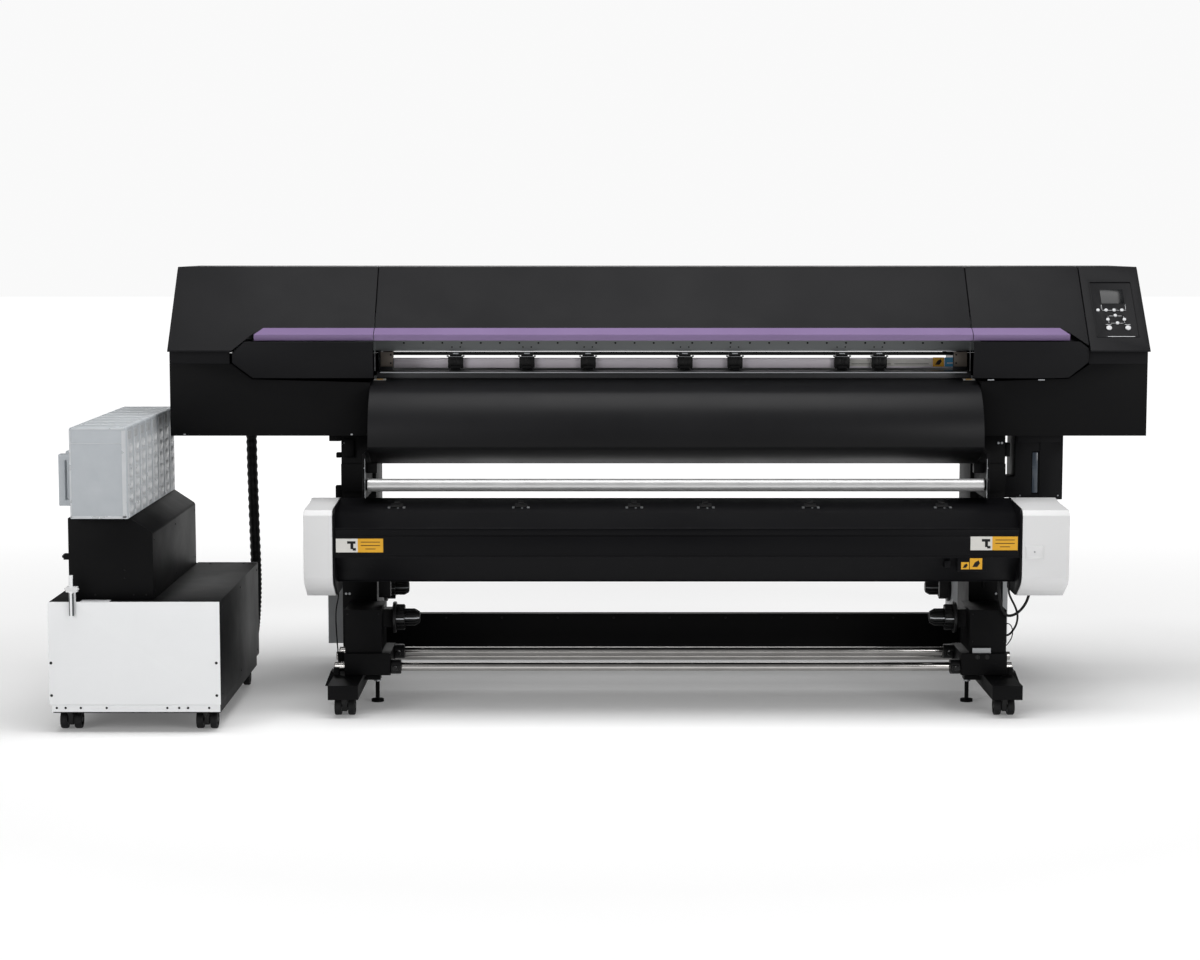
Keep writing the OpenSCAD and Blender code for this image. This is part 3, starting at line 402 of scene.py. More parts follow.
def screw_tree():
    """Geometry Nodes: a pan-head screw with a cross recess on every point, turned along its aim."""
    tree = bpy.data.node_groups.new("screw_heads", "GeometryNodeTree")
    for label, kind in (("Points", "NodeSocketGeometry"), ("Head radius", "NodeSocketFloat"),
                        ("Head height", "NodeSocketFloat"), ("Finish", "NodeSocketMaterial")):
        tree.interface.new_socket(label, in_out="INPUT", socket_type=kind)
    tree.interface.new_socket("Screws", in_out="OUTPUT", socket_type="NodeSocketGeometry")
    inputs = add(tree, "NodeGroupInput")
    dome = add(tree, "GeometryNodeMeshCone", {"fill_type": "NGON"}, {"Vertices": 20, "Side Segments": 1},
               {"Depth": (inputs, "Head height"), "Radius Bottom": (inputs, "Head radius")})
    top = add(tree, "ShaderNodeMath", {"operation": "MULTIPLY"}, {1: 0.72}, {0: (inputs, "Head radius")})
    tree.links.new(top.outputs[0], dome.inputs["Radius Top"])
    sink = add(tree, "ShaderNodeMath", {"operation": "MULTIPLY"}, {1: -0.35}, {0: (inputs, "Head height")})
    sink_by = add(tree, "ShaderNodeCombineXYZ", links={"Z": (sink, 0)})
    recess_r = add(tree, "ShaderNodeMath", {"operation": "MULTIPLY"}, {1: 0.34}, {0: (inputs, "Head radius")})
    recess = add(tree, "GeometryNodeMeshCone", {"fill_type": "NGON"}, {"Vertices": 6, "Side Segments": 1},
                 {"Depth": (inputs, "Head height"), "Radius Bottom": (recess_r, 0)})
    seat_r = add(tree, "ShaderNodeMath", {"operation": "MULTIPLY"}, {1: 0.5}, {0: (inputs, "Head radius")})
    tree.links.new(seat_r.outputs[0], recess.inputs["Radius Top"])
    lift = add(tree, "ShaderNodeMath", {"operation": "MULTIPLY"}, {1: 0.12}, {0: (inputs, "Head height")})
    lift_by = add(tree, "ShaderNodeCombineXYZ", links={"Z": (lift, 0)})
    socket_top = add(tree, "GeometryNodeTransform",
                     links={"Geometry": (recess, "Mesh"), "Translation": (lift_by, 0)})
    both = add(tree, "GeometryNodeJoinGeometry")
    tree.links.new(dome.outputs["Mesh"], both.inputs[0])
    tree.links.new(socket_top.outputs[0], both.inputs[0])
    seated = add(tree, "GeometryNodeTransform", links={"Geometry": (both, 0), "Translation": (sink_by, 0)})
    aim = add(tree, "GeometryNodeInputNamedAttribute", {"data_type": "FLOAT_VECTOR"}, {"Name": "aim"})
    turn = add(tree, "FunctionNodeAlignRotationToVector", {"axis": "Z"}, links={"Vector": (aim, 0)})
    placed = add(tree, "GeometryNodeInstanceOnPoints",
                 links={"Points": (inputs, "Points"), "Instance": (seated, 0), "Rotation": (turn, 0)})
    real = add(tree, "GeometryNodeRealizeInstances", links={"Geometry": (placed, 0)})
    dressed = add(tree, "GeometryNodeSetMaterial",
                  links={"Geometry": (real, 0), "Material": (inputs, "Finish")})
    add(tree, "NodeGroupOutput", links={0: (dressed, 0)})
    return tree


screws_on_points = screw_tree()


def grown(name, tree, source, values, body):
    """Runs a Geometry Nodes tree on a source mesh and keeps the result as a plain piece."""
    seed = bpy.data.objects.new(name + "_seed", source)
    scene.collection.objects.link(seed)
    modifier = seed.modifiers.new("grow", "NODES")
    modifier.node_group = tree
    for item in tree.interface.items_tree:
        if item.item_type == "SOCKET" and item.in_out == "INPUT" and item.name in values:
            modifier[item.identifier] = values[item.name]
    mesh = flat_copy(seed, name)
    mesh.shade_smooth()
    mesh.set_sharp_from_angle(angle=math.radians(35))
    piece = bpy.data.objects.new(name, mesh)
    scene.collection.objects.link(piece)
    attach(piece, body)


def points_mesh(name, spots):
    """A mesh of loose points, each with the direction that its item faces."""
    mesh = bpy.data.meshes.new(name)
    mesh.from_pydata([tuple(Vector(p) * MM) for p, _ in spots], [], [])
    aim = mesh.attributes.new("aim", "FLOAT_VECTOR", "POINT")
    for i, (_, direction) in enumerate(spots):
        aim.data[i].vector = direction
    return mesh


HEAD_HEIGHT = 1.8 * MM
FRONT, BACK, UP, LEFT, RIGHT = (0, -1, 0), (0, 1, 0), (0, 0, 1), (-1, 0, 0), (1, 0, 0)


def screws(name, spots, radius_mm, finish, body="root"):
    """Screw heads at (place, direction) spots in millimetres, as one piece."""
    grown(name, screws_on_points, points_mesh(name, spots),
          {"Head radius": radius_mm * MM, "Head height": HEAD_HEIGHT, "Finish": finish}, body)


def ends_of(middle, xs, ys, zs):
    """Spots on faces that look along X, away from a middle, at every mix of the places."""
    return [((x, y, z), (math.copysign(1, x - middle), 0, 0)) for x in xs for y in ys for z in zs]


def box_mm(bm, low, high, material=0):
    """Adds a plain block between two corners in millimetres."""
    low, high = Vector(low) * MM, Vector(high) * MM
    made = bmesh.ops.create_cube(bm, size=1)
    for v in made["verts"]:
        v.co = Vector([low[i] + (v.co[i] + 0.5) * (high[i] - low[i]) for i in range(3)])
    faces = {f for v in made["verts"] for f in v.link_faces}
    for face in faces:
        face.material_index = material
    return made["verts"]


def tilted_box(bm, centre, size, tilt, material=0):
    """A block turned about X, given by its centre and its size in millimetres."""
    verts = box_mm(bm, [-v / 2 for v in size], [v / 2 for v in size], material)
    turn = Matrix.Translation(Vector(centre) * MM) @ Matrix.Rotation(tilt, 4, "X")
    bmesh.ops.transform(bm, matrix=turn, verts=verts)


def collar(bm, x0, x1, y, z, inner, outer):
    """A ring round a pipe along X, with its edges broken, in millimetres."""
    ease = min(1.5, (outer - inner) / 3)
    outline = [(x0, inner), (x0, outer - ease), (x0 + ease, outer), (x1 - ease, outer), (x1, outer - ease),
               (x1, inner)]
    lathe(bm, [(u * MM, r * MM) for u, r in outline], Vector((0, y, z)) * MM, sides=32)


def between(bm, first, last, material=0):
    """Closes a prism: its two end outlines and the walls between them. Returns the walls."""
    faces = [bm.faces.new(first), bm.faces.new(last[::-1])]
    for i in range(len(first)):
        j = (i + 1) % len(first)
        faces.append(bm.faces.new((first[i], last[i], last[j], first[j])))
    for face in faces:
        face.material_index = material
    return faces[2:]


def slab_x(bm, outline, x0, x1):
    """A plate with a Y-Z outline, between two places along X, in millimetres."""
    between(bm, *([bm.verts.new(Vector((x, y, z)) * MM) for y, z in outline] for x in (x0, x1)))


def eased(bm, width_mm, segments=2):
    """Eases every sharp edge of the mesh so far."""
    edges = [e for e in bm.edges if len(e.link_faces) == 2 and e.calc_face_angle(0) > math.radians(SHARP)]
    bmesh.ops.bevel(bm, geom=edges, offset=width_mm * MM, segments=segments, affect="EDGES",
                    profile=0.5, clamp_overlap=True)


# Tabs on the outer sides of the columns, and the cable boxes on their fronts
column_front = -40
leg_bits = bmesh.new()
box_mm(leg_bits, (-800, column_front, 568), (-782, -16, 616))
box_mm(leg_bits, (-817, column_front - 2, 745), (-782, -10, 766))
box_mm(leg_bits, (-797, column_front - 2, 697), (-782, -20, 712))
box_mm(leg_bits, (1138, column_front - 2, 700), (1152, -14, 740))
eased(leg_bits, 2.5)
piece_from("column_tabs", leg_bits, powder, "root")
column_boxes = bmesh.new()
box_mm(column_boxes, (-773, column_front - 10, 700), (-744, column_front, 752))
box_mm(column_boxes, (1060, column_front - 8, 500), (1068, column_front, 590))
box_mm(column_boxes, (1078, column_front - 8, 320), (1082, column_front, 400))
eased(column_boxes, 2)
piece_from("column_junction_box", column_boxes, powder, "root")
# Hooks that hold the roller's ends, with a bare plate edge inside each
media_cx = 178
roller_y, roller_z = -255, 640
hooks = bmesh.new()
plate_edges = bmesh.new()
for side in (-1, 1):
    inner = media_cx + side * 870
    x0, x1 = sorted((inner, inner - side * 30))
    hook = [(-240, 662), (-268, 668), (-286, 656), (-290, 630), (-276, 610), (-262, 604), (-240, 606)]
    slab_x(hooks, hook, *sorted((inner + side * 2, inner + side * 7)))
    box_mm(hooks, (x0, -238, 672), (x1, -214, 700))
    collar(hooks, *sorted((inner - side * 3, inner)), roller_y, roller_z, 6.2, 15)
    edge0, edge1 = sorted((inner, inner + side * 1.2))
    box_mm(plate_edges, (edge0, -279.5, 606), (edge1, -277, 716))
eased(hooks, 1.5)
bmesh.ops.recalc_face_normals(hooks, faces=hooks.faces)
piece_from("roller_hooks", hooks, powder, "root")
piece_from("roller_plate_edges", plate_edges, zinc, "root")
screws("roller_plate_screws", [((media_cx + side * 872, -279, z), FRONT)
                               for side in (-1, 1) for z in (618, 652, 690)], 2.2, zinc)
# Two hexagonal lock nuts on the threaded stem of each levelling foot
feet_parts = bmesh.new()
for x in (-675, 1023):
    for z0, z1, outer in ((60, 66, 11), (78, 83, 10)):
        lathe(feet_parts, [(u * MM, r * MM) for u, r in ((z0, 6), (z0, outer), (z1, outer), (z1, 6))],
              Vector((x, -130, 0)) * MM, axis="Z", sides=6)
bmesh.ops.recalc_face_normals(feet_parts, faces=feet_parts.faces)
piece_from("levelling_nuts", feet_parts, zinc, "root")
screws("leg_screws", [((x, column_front - 0.5, z), FRONT) for x in (-772, -762, 1118, 1128)
                      for z in (740, 660, 560, 300)]
       + ends_of(media_cx, (-782.5, 1138.5), (-30, 140), (180, 420, 700)), 4, zinc)
screws("cross_beam_screws", [((-660 + i * 167, 149.5, z), FRONT) for i in range(11) for z in (108, 200)],
       3.5, oxide)

# ------------------------------------------------------------------ pipes
# Drawn steel pipes, polished and chromed, that join the two long feet and
# carry the take-up units; the units are clamped to them with split collars.

# Chromed steel: mirror-like along the pipe, with a fine drawn grain round it
chromed = worn(new_finish("chromed_steel", "#c3c1bf", 0.16, 1.0),
               "#cfcdcb", "#a8a5a2", 90, 0.12, 0.24)
softened("takeup_rails", "takeup_pipes", 1.5 * MM, chromed)

# ------------------------------------------------------------------ main beam and platen
# The extruded beam across the machine is painted grey, and the pale anodised
# pinch rail is screwed under it. The deck below is black-anodised aluminium.

# Satin grey paint on the beam; its colour is lightened as painted light, standing in for the light that falls
# into the print area
beam_paint_lightened = worn(new_finish("grey_paint_lightened", "#8d9293", 0.4),
                  "#949899", "#84898a", 180, 0.34, 0.46, grain_mm=2.0, depth_mm=0.04)
softened("main_beam", "main_beam_paint", 1.2 * MM, beam_paint_lightened)
# Clear-anodised aluminium: even and softly reflecting; its colour is lightened to near white as painted
# light, standing in for the light on the rail under the front cover
anodised = worn(new_finish("anodised_aluminium_lightened", "#cfc8d0", 0.42, 0.2),
                "#efe8f0", "#e0dae2", 160, 0.36, 0.5)
# Black-anodised deck
deck_finish = worn(new_finish("black_anodised_deck", "#2a2a2c", 0.35, 0.4),
                   "#303033", "#242426", 120, 0.3, 0.42)
softened("platen", "platen_deck", 1.0 * MM, deck_finish)

# Ends of the opening between the hoods, and the level of the deck
opening = (-675, 1022)
deck_top = 948
face_bits = bmesh.new()
box_mm(face_bits, (opening[0] + 42, 26.8, deck_top + 5.5), (opening[1] - 30, 28.2, deck_top + 33.5))
eased(face_bits, 0.5)
piece_from("pinch_rail_face", face_bits, anodised, "root")
# Painted highlights: thin bright zinc strips along the lower edge of the beam and along the front edge of the
# deck, where light catches those edges
painted_highlight_strip = bmesh.new()
box_mm(painted_highlight_strip, (opening[0] + 4, 43.6, 1000.5), (opening[1] - 4, 46, 1004))
box_mm(painted_highlight_strip, (opening[0] + 10, -76.6, deck_top - 3.4), (opening[1] - 4, -74, deck_top - 0.6))
piece_from("painted_highlight_strips", painted_highlight_strip, zinc, "root")
# Label films: satin vinyl, left blank apart from generic bars and marks
film_white = worn(new_finish("white_label_film", "#cfcdc8", 0.45),
                  "#d4d2cd", "#c6c4bf", 40, 0.4, 0.5)
film_yellow = worn(new_finish("yellow_label_film", "#d89f12", 0.45),
                   "#dda51a", "#cf970d", 40, 0.4, 0.5)
film_blue = worn(new_finish("blue_label_film", "#2f86b4", 0.45),
                 "#358cba", "#2a7faa", 40, 0.4, 0.5)
film_ink = worn(new_finish("label_ink", "#151515", 0.5, specular=0.2),
                "#1a1a1a", "#101010", 10, 0.45, 0.55)
FILMS = (film_white, film_yellow, film_blue, film_ink)
WHITE, YELLOW, BLUE, INK = range(len(FILMS))


LABEL_THICK = 0.6
PRINT_THICK = 0.2


def label(bm, x0, x1, z0, z1, y, film, bars=0, mark=False):
    """A thin label on a vertical face, with generic bars or a plain five-sided mark printed on it."""
    top = y - LABEL_THICK
    box_mm(bm, (x0, top, z0), (x1, y, z1), film)
    for i in range(bars):
        z = z0 + (z1 - z0) * (i + 1) / (bars + 1)
        inset = (0.12 if i else 0.3) * (x1 - x0)
        box_mm(bm, (x0 + inset, top - PRINT_THICK, z - 0.9), (x1 - inset, top, z + 0.9), INK)
    if mark:
        cx, cz = (x0 + x1) / 2, (z0 + z1) / 2
        h, w = z1 - z0, x1 - x0
        slab = [(cx - 0.3 * w, cz - 0.3 * h), (cx + 0.1 * w, cz - 0.3 * h), (cx + 0.32 * w, cz + 0.05 * h),
                (cx + 0.2 * w, cz + 0.32 * h), (cx - 0.1 * w, cz + 0.12 * h)]
        between(bm, *([bm.verts.new(Vector((x, level, z)) * MM) for x, z in slab]
                      for level in (top - PRINT_THICK, top)), material=INK)


def labels_piece(name, bm):
    """Finishes a mesh of labels: one piece with every film as a material."""
    bmesh.ops.recalc_face_normals(bm, faces=bm.faces)
    piece = piece_from(name, bm, None, "root")
    for film in FILMS:
        piece.data.materials.append(film)
    return piece


rail_labels = bmesh.new()
rail_y = 26.8
label(rail_labels, 687, 932, 958, 979, rail_y, WHITE)
for i in range(2):
    for x0, x1 in ((697, 760), (768, 812), (822, 922)):
        z = 965 + i * 7
        box_mm(rail_labels, (x0, rail_y - 0.8, z - 0.7), (x1, rail_y - 0.6, z + 0.7), WHITE if i else INK)
label(rail_labels, 934, 966, 957, 984, rail_y - 1, YELLOW, mark=True)
label(rail_labels, 969, 1000, 957, 984, rail_y - 1, BLUE)
box_mm(rail_labels, (975, rail_y - 1.8, 966), (994, rail_y - 1.6, 969), WHITE)
labels_piece("rail_labels", rail_labels)
corner_labels = bmesh.new()
for x in (-680, 1003):
    tilted_box(corner_labels, (x + 17, -100, 927.6), (34, 14, 0.8), math.radians(14), WHITE)
    tilted_box(corner_labels, (x + 17, -100.2, 928.2), (18, 8, 0.5), math.radians(14), YELLOW)
labels_piece("apron_corner_labels", corner_labels)
# Vertical frame edges at both ends of the opening
frame_edges = bmesh.new()
for x in (-681, 1027):
    box_mm(frame_edges, (x, -70, 950), (x + 2, -66, 1034))
piece_from("opening_frame_edges", frame_edges, zinc, "root")
# Row of mounting screws along the beam, and pairs above each pinch head
pinch_xs = [media_cx + x for x in (-631, -424, -246, 35, 180, 491, 599)]
screws("beam_screws", [((opening[0] + 70 + 56 * i, 44.8, 1025), FRONT) for i in range(29)], 3.2, oxide)
screws("beam_pair_screws", [((x + s, 44.8, 1013), FRONT) for x in pinch_xs for s in (-12, 12)], 2.4, oxide)
# Bare steel end plates of the pinch rail, warm grey
plate_steel = worn(new_finish("bare_steel_plate", "#776e67", 0.5, 0.35),
                   "#81786f", "#6a625c", 40, 0.44, 0.58, grain_mm=1.5, depth_mm=0.03)
end_plates = bmesh.new()
for x0, x1 in ((-683 + 12, -646 + 12), (1001 - 8, 1040 - 8)):
    box_mm(end_plates, (x0, 14, deck_top + 10), (x1, 18.2, deck_top + 53))
eased(end_plates, 1.2)
piece_from("pinch_rail_end_plates", end_plates, plate_steel, "root")
screws("end_plate_screws", [((x, 13.8, z), FRONT) for x in (-641, 1000) for z in (968, 992)], 3, oxide)


# ------------------------------------------------------------------ pinch and grit rollers
# Each pinch head is a glass-filled nylon lever with a rubber roller; the grit
# sleeves below are blasted steel. All seven levers lift together.
softened("pinch_arms", "pinch_levers", 1.2 * MM, nylon)
softened("pinch_rollers", "pinch_roller_rubber", 0.6 * MM, tread)
softened("grit_rollers", "grit_shaft", 0.6 * MM, zinc)
head_bits = bmesh.new()
for x in pinch_xs:
    for s in (-1, 1):
        box_mm(head_bits, (x + s * 11 - 7, 9.6, deck_top + 14), (x + s * 11 + 7, 11.2, deck_top + 33))
    box_mm(head_bits, (x - 2.5, 9, deck_top + 12), (x + 2.5, 11.2, deck_top + 36))
eased(head_bits, 0.5)
piece_from("pinch_head_ribs", head_bits, nylon, "pinch_arms")
spring_plates = bmesh.new()
for x in pinch_xs:
    box_mm(spring_plates, (x - 8, 14, deck_top + 46.2), (x + 8, 40, deck_top + 49.2))
    box_mm(spring_plates, (x - 26, 13, deck_top + 38.2), (x + 26, 24, deck_top + 39.2))
piece_from("pinch_spring_plates", spring_plates, zinc, "pinch_arms")
pinch_clips = bmesh.new()
for x in pinch_xs:
    for s in (-1, 1):
        box_mm(pinch_clips, (x + s * 14 - 5, 12, deck_top + 43), (x + s * 14 + 5, 26, deck_top + 52))
        box_mm(pinch_clips, (x + s * 23 - 3, 12, deck_top + 38.5), (x + s * 23 + 3, 20, deck_top + 42))
eased(pinch_clips, 0.8)
piece_from("pinch_clips", pinch_clips, nylon, "pinch_arms")

# ------------------------------------------------------------------ carriages
# Moulded covers over the print heads and over the blade holder; both ride on
# the two rails of the beam and are parked under the end hoods.

# ABS: spark-eroded mould texture, dull black
abs_skin = worn(new_finish("abs_moulding", "#111113", 0.5, specular=0.11),
                "#151517", "#101012", 260, 0.44, 0.56, grain_mm=2.4, depth_mm=0.05)
softened("print_carriage", "print_carriage_cover", 4 * MM, abs_skin)
softened("cutter_carriage", "cutter_carriage_cover", 3 * MM, abs_skin)
softened("cutter_holder", "blade_holder", 0.6 * MM, zinc)

# ------------------------------------------------------------------ apron and guide roller
# The apron is a rolled steel sheet with a satin heat-proof coat; below it the
# printed media turns over a drawn aluminium roller.

# Satin heat-proof coat: smooth, dark, with a soft broad sheen
satin_coat, satin_tree, satin_shader = new_finish("satin_heat_coat", "#1a1a1b", 0.38, specular=0.12)
worn((satin_coat, satin_tree, satin_shader), "#1c1c1e", "#171718", 300, 0.33, 0.44,
     grain_mm=2.0, depth_mm=0.02)
# Painted shade: the coat is darkened toward the lower lip, where the sheet turns under, to stand in for the
# shadow there
drop = add(satin_tree, "ShaderNodeSeparateXYZ", links={0: (add(satin_tree, "ShaderNodeTexCoord"), "Object")})
lip_painted_shade = add(satin_tree, "ShaderNodeMapRange",
               values={"From Min": 0.70, "From Max": 0.80, "To Min": 0.25, "To Max": 1.0},
               links={"Value": (drop, "Z")})
coat_colour = satin_shader.inputs["Base Color"].links[0].from_socket
lip_shade_mix = add(satin_tree, "ShaderNodeMix", {"data_type": "RGBA"}, {"A": linear("#050505")},
             {"Factor": (lip_painted_shade, "Result")})
satin_tree.links.new(coat_colour, [i for i in lip_shade_mix.inputs if i.identifier == "B_Color"][0])
satin_tree.links.new(lip_shade_mix.outputs["Result"], satin_shader.inputs["Base Color"])
softened("apron", "apron_sheet", 1.0 * MM, satin_coat)
apron_low, apron_high = (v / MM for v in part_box("apron"))
# Drawn aluminium: fine lines round the roller
drawn = worn(new_finish("drawn_aluminium", "#dadada", 0.33, 0.6),
             "#e0e0e0", "#d0d0d0", 70, 0.28, 0.38)
roller_half = 866
roller = bmesh.new()
lathe(roller, [((s - roller_half) * MM, r * MM) for s, r in (
    (-12, 0), (-12, 6), (0, 6), (0, 16), (2, 18), (2 * roller_half - 2, 18),
    (2 * roller_half, 16), (2 * roller_half, 6), (2 * roller_half + 12, 6), (2 * roller_half + 12, 0))],
    Vector((media_cx, roller_y, roller_z)) * MM, sides=64)
bmesh.ops.recalc_face_normals(roller, faces=roller.faces)
piece_from("guide_roller_tube", roller, drawn, "guide_roller", ["guide_roller"])
screws("apron_screws", [((x, -173, 889), (0, -0.5, 0.87)) for x in (apron_low.x + 18, apron_high.x - 18)],
       3, zinc)

# ------------------------------------------------------------------ lower covers
# Deep folded-steel covers under the hoods, powder-coated black and screwed to
# the frame. The mains inlet and the connectors are in the back of the right one.
softened("left_lower_cover", "left_lower_cover_steel", 2.4 * MM, powder)
softened("right_lower_cover", "right_lower_cover_steel", 2.4 * MM, powder)
# Faces of the machine's two ends, and of the lower covers' backs
end_faces = (-1256.4, 1520.4)
cover_back = 450
screws("lower_cover_screws", [((x, cover_back + 0.4, z), BACK) for x in (-1230, -960, -720, 1080, 1300, 1500)
                              for z in (800, 950)]
       + ends_of(0, end_faces, (-120, 150, 420), (800, 950)), 3.2, oxide)
# Mains inlet, switch and connector plate in the back of the right cover, and a blank rating plate
inlet_plate = bmesh.new()
box_mm(inlet_plate, (1130, cover_back, 800), (1290, cover_back + 1.5, 900))
box_mm(inlet_plate, (1330, cover_back, 830), (1450, cover_back + 1, 890))
eased(inlet_plate, 0.4)
piece_from("rear_plates", inlet_plate, zinc, "root")
inlet = bmesh.new()
for x0, x1, z0, z1, out in ((1142, 1176, 826, 874, 6), (1190, 1214, 834, 866, 8), (1230, 1250, 842, 856, 5),
                            (1258, 1278, 842, 856, 5)):
    box_mm(inlet, (x0, cover_back + 1, z0), (x1, cover_back + out, z1))
eased(inlet, 1.2)
piece_from("rear_inlet", inlet, nylon, "root")
latches = bmesh.new()
for x in (1075, 1219):
    box_mm(latches, (x - 9, -153.4, 928), (x + 9, -150.5, 931))
for x in (-1216, -741):
    box_mm(latches, (x - 3, -151.5, 772), (x + 3, -149.5, 776))
piece_from("cover_latch_plates", latches, zinc, "root")

# ------------------------------------------------------------------ hoods, rear cover and trim
# Large ABS mouldings over the carriage bay, with a satin purple trim strip
# let into their lower edge.
panel_x = 1522 - 169
for node in ("left_hood", "right_hood", "rear_cover", "control_panel"):
    softened(node, node + "_moulding", 2.6 * MM, abs_skin, segments=3)


def row_tree():
    """Geometry Nodes: a row of equal blocks with domed faces, from a start place at a fixed step."""
    tree = bpy.data.node_groups.new("block_row", "GeometryNodeTree")
    for label, kind in (("Start", "NodeSocketVector"), ("Step", "NodeSocketVector"),
                        ("Size", "NodeSocketVector"), ("Count", "NodeSocketInt"),
                        ("Finish", "NodeSocketMaterial")):
        tree.interface.new_socket(label, in_out="INPUT", socket_type=kind)
    tree.interface.new_socket("Row", in_out="OUTPUT", socket_type="NodeSocketGeometry")
    inputs = add(tree, "NodeGroupInput")
    line = add(tree, "GeometryNodeMeshLine", {"mode": "OFFSET"}, links={
        "Count": (inputs, "Count"), "Start Location": (inputs, "Start"), "Offset": (inputs, "Step")})
    block = add(tree, "GeometryNodeMeshUVSphere", values={"Segments": 8, "Rings": 6, "Radius": 0.58})
    placed = add(tree, "GeometryNodeInstanceOnPoints",
                 links={"Points": (line, 0), "Instance": (block, "Mesh"), "Scale": (inputs, "Size")})
    real = add(tree, "GeometryNodeRealizeInstances", links={"Geometry": (placed, 0)})
    dressed = add(tree, "GeometryNodeSetMaterial",
                  links={"Geometry": (real, 0), "Material": (inputs, "Finish")})
    add(tree, "NodeGroupOutput", links={0: (dressed, 0)})
    return tree


blocks_in_row = row_tree()


def row_of(name, start, step, size, count, finish, body):
    """A row of domed blocks in millimetres, as one plain piece."""
    empty = bpy.data.meshes.new(name + "_empty")
    grown(name, blocks_in_row, empty,
          {"Start": tuple(Vector(start) * MM), "Step": tuple(Vector(step) * MM),
           "Size": tuple(Vector(size) * MM), "Count": count, "Finish": finish}, body)


# Cooling louvres pressed in the back of the hoods, and the screws that hold the rear panels
for name, x in (("left_louvres", -1180), ("middle_left_louvres", -420), ("middle_right_louvres", 560),
                ("right_louvres", 1130)):
    row_of(name, (x, 474.4, 1150), (16, 0, 0), (7, 2.4, 96), 19, abs_skin, "root")
rear_screw_xs = (-1230, -940, -700, -640, -200, 178, 560, 990, 1040, 1330, 1370, 1500)
screws("rear_screws", [((x, 475.3, z), BACK) for x in rear_screw_xs for z in (1030, 1200)], 3.2, oxide)
screws("hood_end_screws", ends_of(0, end_faces, (40, 240, 440), (1000,)), 3.2, oxide)

# Purple trim: pearl lacquer over ABS, slightly glossy
lacquer = worn(new_finish("purple_lacquer", "#7c688f", 0.38, specular=0.4),
               "#816d95", "#766288", 200, 0.34, 0.44)
# The hoods' front slopes from its top edge to its bottom edge, given as (y, z)
slope_top, slope_foot = (35, 1246), (-175, 1014)
slope_y, slope_z = slope_top[0] - slope_foot[0], slope_top[1] - slope_foot[1]
trim_low = 1041
face_low_y = slope_top[0] - (slope_top[1] - trim_low) / slope_z * slope_y
trim_section = [(face_low_y + y, trim_low + z) for y, z in (
    (-0.6, 0), (-3, 0.2), (-8.4, 16), (-7.6, 18), (27.6, 34.4), (28.6, 34), (6, 8))]
trim_top, trim_fold = 1076, 1058


def trim_end(bm, x, cut):
    """One end outline of the strip, its upper facet moved along X by the cut."""
    slant = cut / (trim_top - trim_fold)
    return [bm.verts.new(Vector((x + slant * max(0, z - trim_fold), y, z)) * MM) for y, z in trim_section]


def trim_length(bm, x0, x1, cut0=0, cut1=0):
    """A length of the two-facet strip; its upper facet may be cut back at either end."""
    between(bm, trim_end(bm, x0, cut0), trim_end(bm, x1, -cut1))


fixed_trims = bmesh.new()
trim_length(fixed_trims, -1015, opening[0] - 2, cut0=24)
trim_length(fixed_trims, opening[1] + 2, panel_x - 56, cut1=24)
bmesh.ops.recalc_face_normals(fixed_trims, faces=fixed_trims.faces)
piece_from("trim_lengths", fixed_trims, lacquer, "root", ["trim_strips"], smooth_angle=20)

# ------------------------------------------------------------------ front cover
# One long ABS moulding over the print area. It lifts on the hinges at its top
# rear edge and carries its own length of the purple trim.
softened("front_cover", "front_cover_moulding", 2.2 * MM, abs_skin, segments=3)
cover_trim = bmesh.new()
trim_length(cover_trim, *opening)
bmesh.ops.recalc_face_normals(cover_trim, faces=cover_trim.faces)
piece_from("front_cover_trim_length", cover_trim, lacquer, "front_cover", ["front_cover_trim"],
           smooth_angle=20)

# ------------------------------------------------------------------ maintenance covers
# Small drop-down ABS covers below the trim, one at each end. They are hinged
# along their lower edge and open onto the cutter and the cleaning station.
for node in ("left_maintenance_cover", "right_maintenance_cover"):
    softened(node, node + "_moulding", 1.4 * MM, abs_skin)

# ------------------------------------------------------------------ operator's panel
# A sloped ABS panel let into the right hood, with a small display, moulded keys
# and printed legends. Its recess has a raised lip.
face_angle = math.atan2(slope_z, slope_y)


def on_face(x, s):
    """A point on the sloped front face, s mm down the slope."""
    down = Vector((0, -math.cos(face_angle), -math.sin(face_angle)))
    return Vector((x, *slope_top)) + down * s


def face_block(bm, x, s, width, height, low, high):
    """A block on the sloped face: width across, height along the slope, between two levels."""
    verts = box_mm(bm, (-width / 2, -height / 2, low), (width / 2, height / 2, high))
    turn = Matrix.Translation(on_face(x, s) * MM) @ Matrix.Rotation(face_angle, 4, "X")
    bmesh.ops.transform(bm, matrix=turn, verts=verts)


# Key plastic: light grey, satin
key_finish = worn(new_finish("key_plastic", "#c3c4c6", 0.4),
                  "#cbccce", "#b9babc", 12, 0.34, 0.46)
softened("menu_keys", "menu_key_caps", 0.8 * MM, key_finish)
softened("command_keys", "command_key_caps", 1.0 * MM, key_finish)
# Display: dark glass over a dim panel
screen_glass = worn(new_finish("display_glass", "#0d0e10", 0.16, specular=0.3),
                    "#101214", "#0a0b0d", 30, 0.12, 0.2)
softened("display_window", "display_pane", 0.5 * MM, screen_glass)
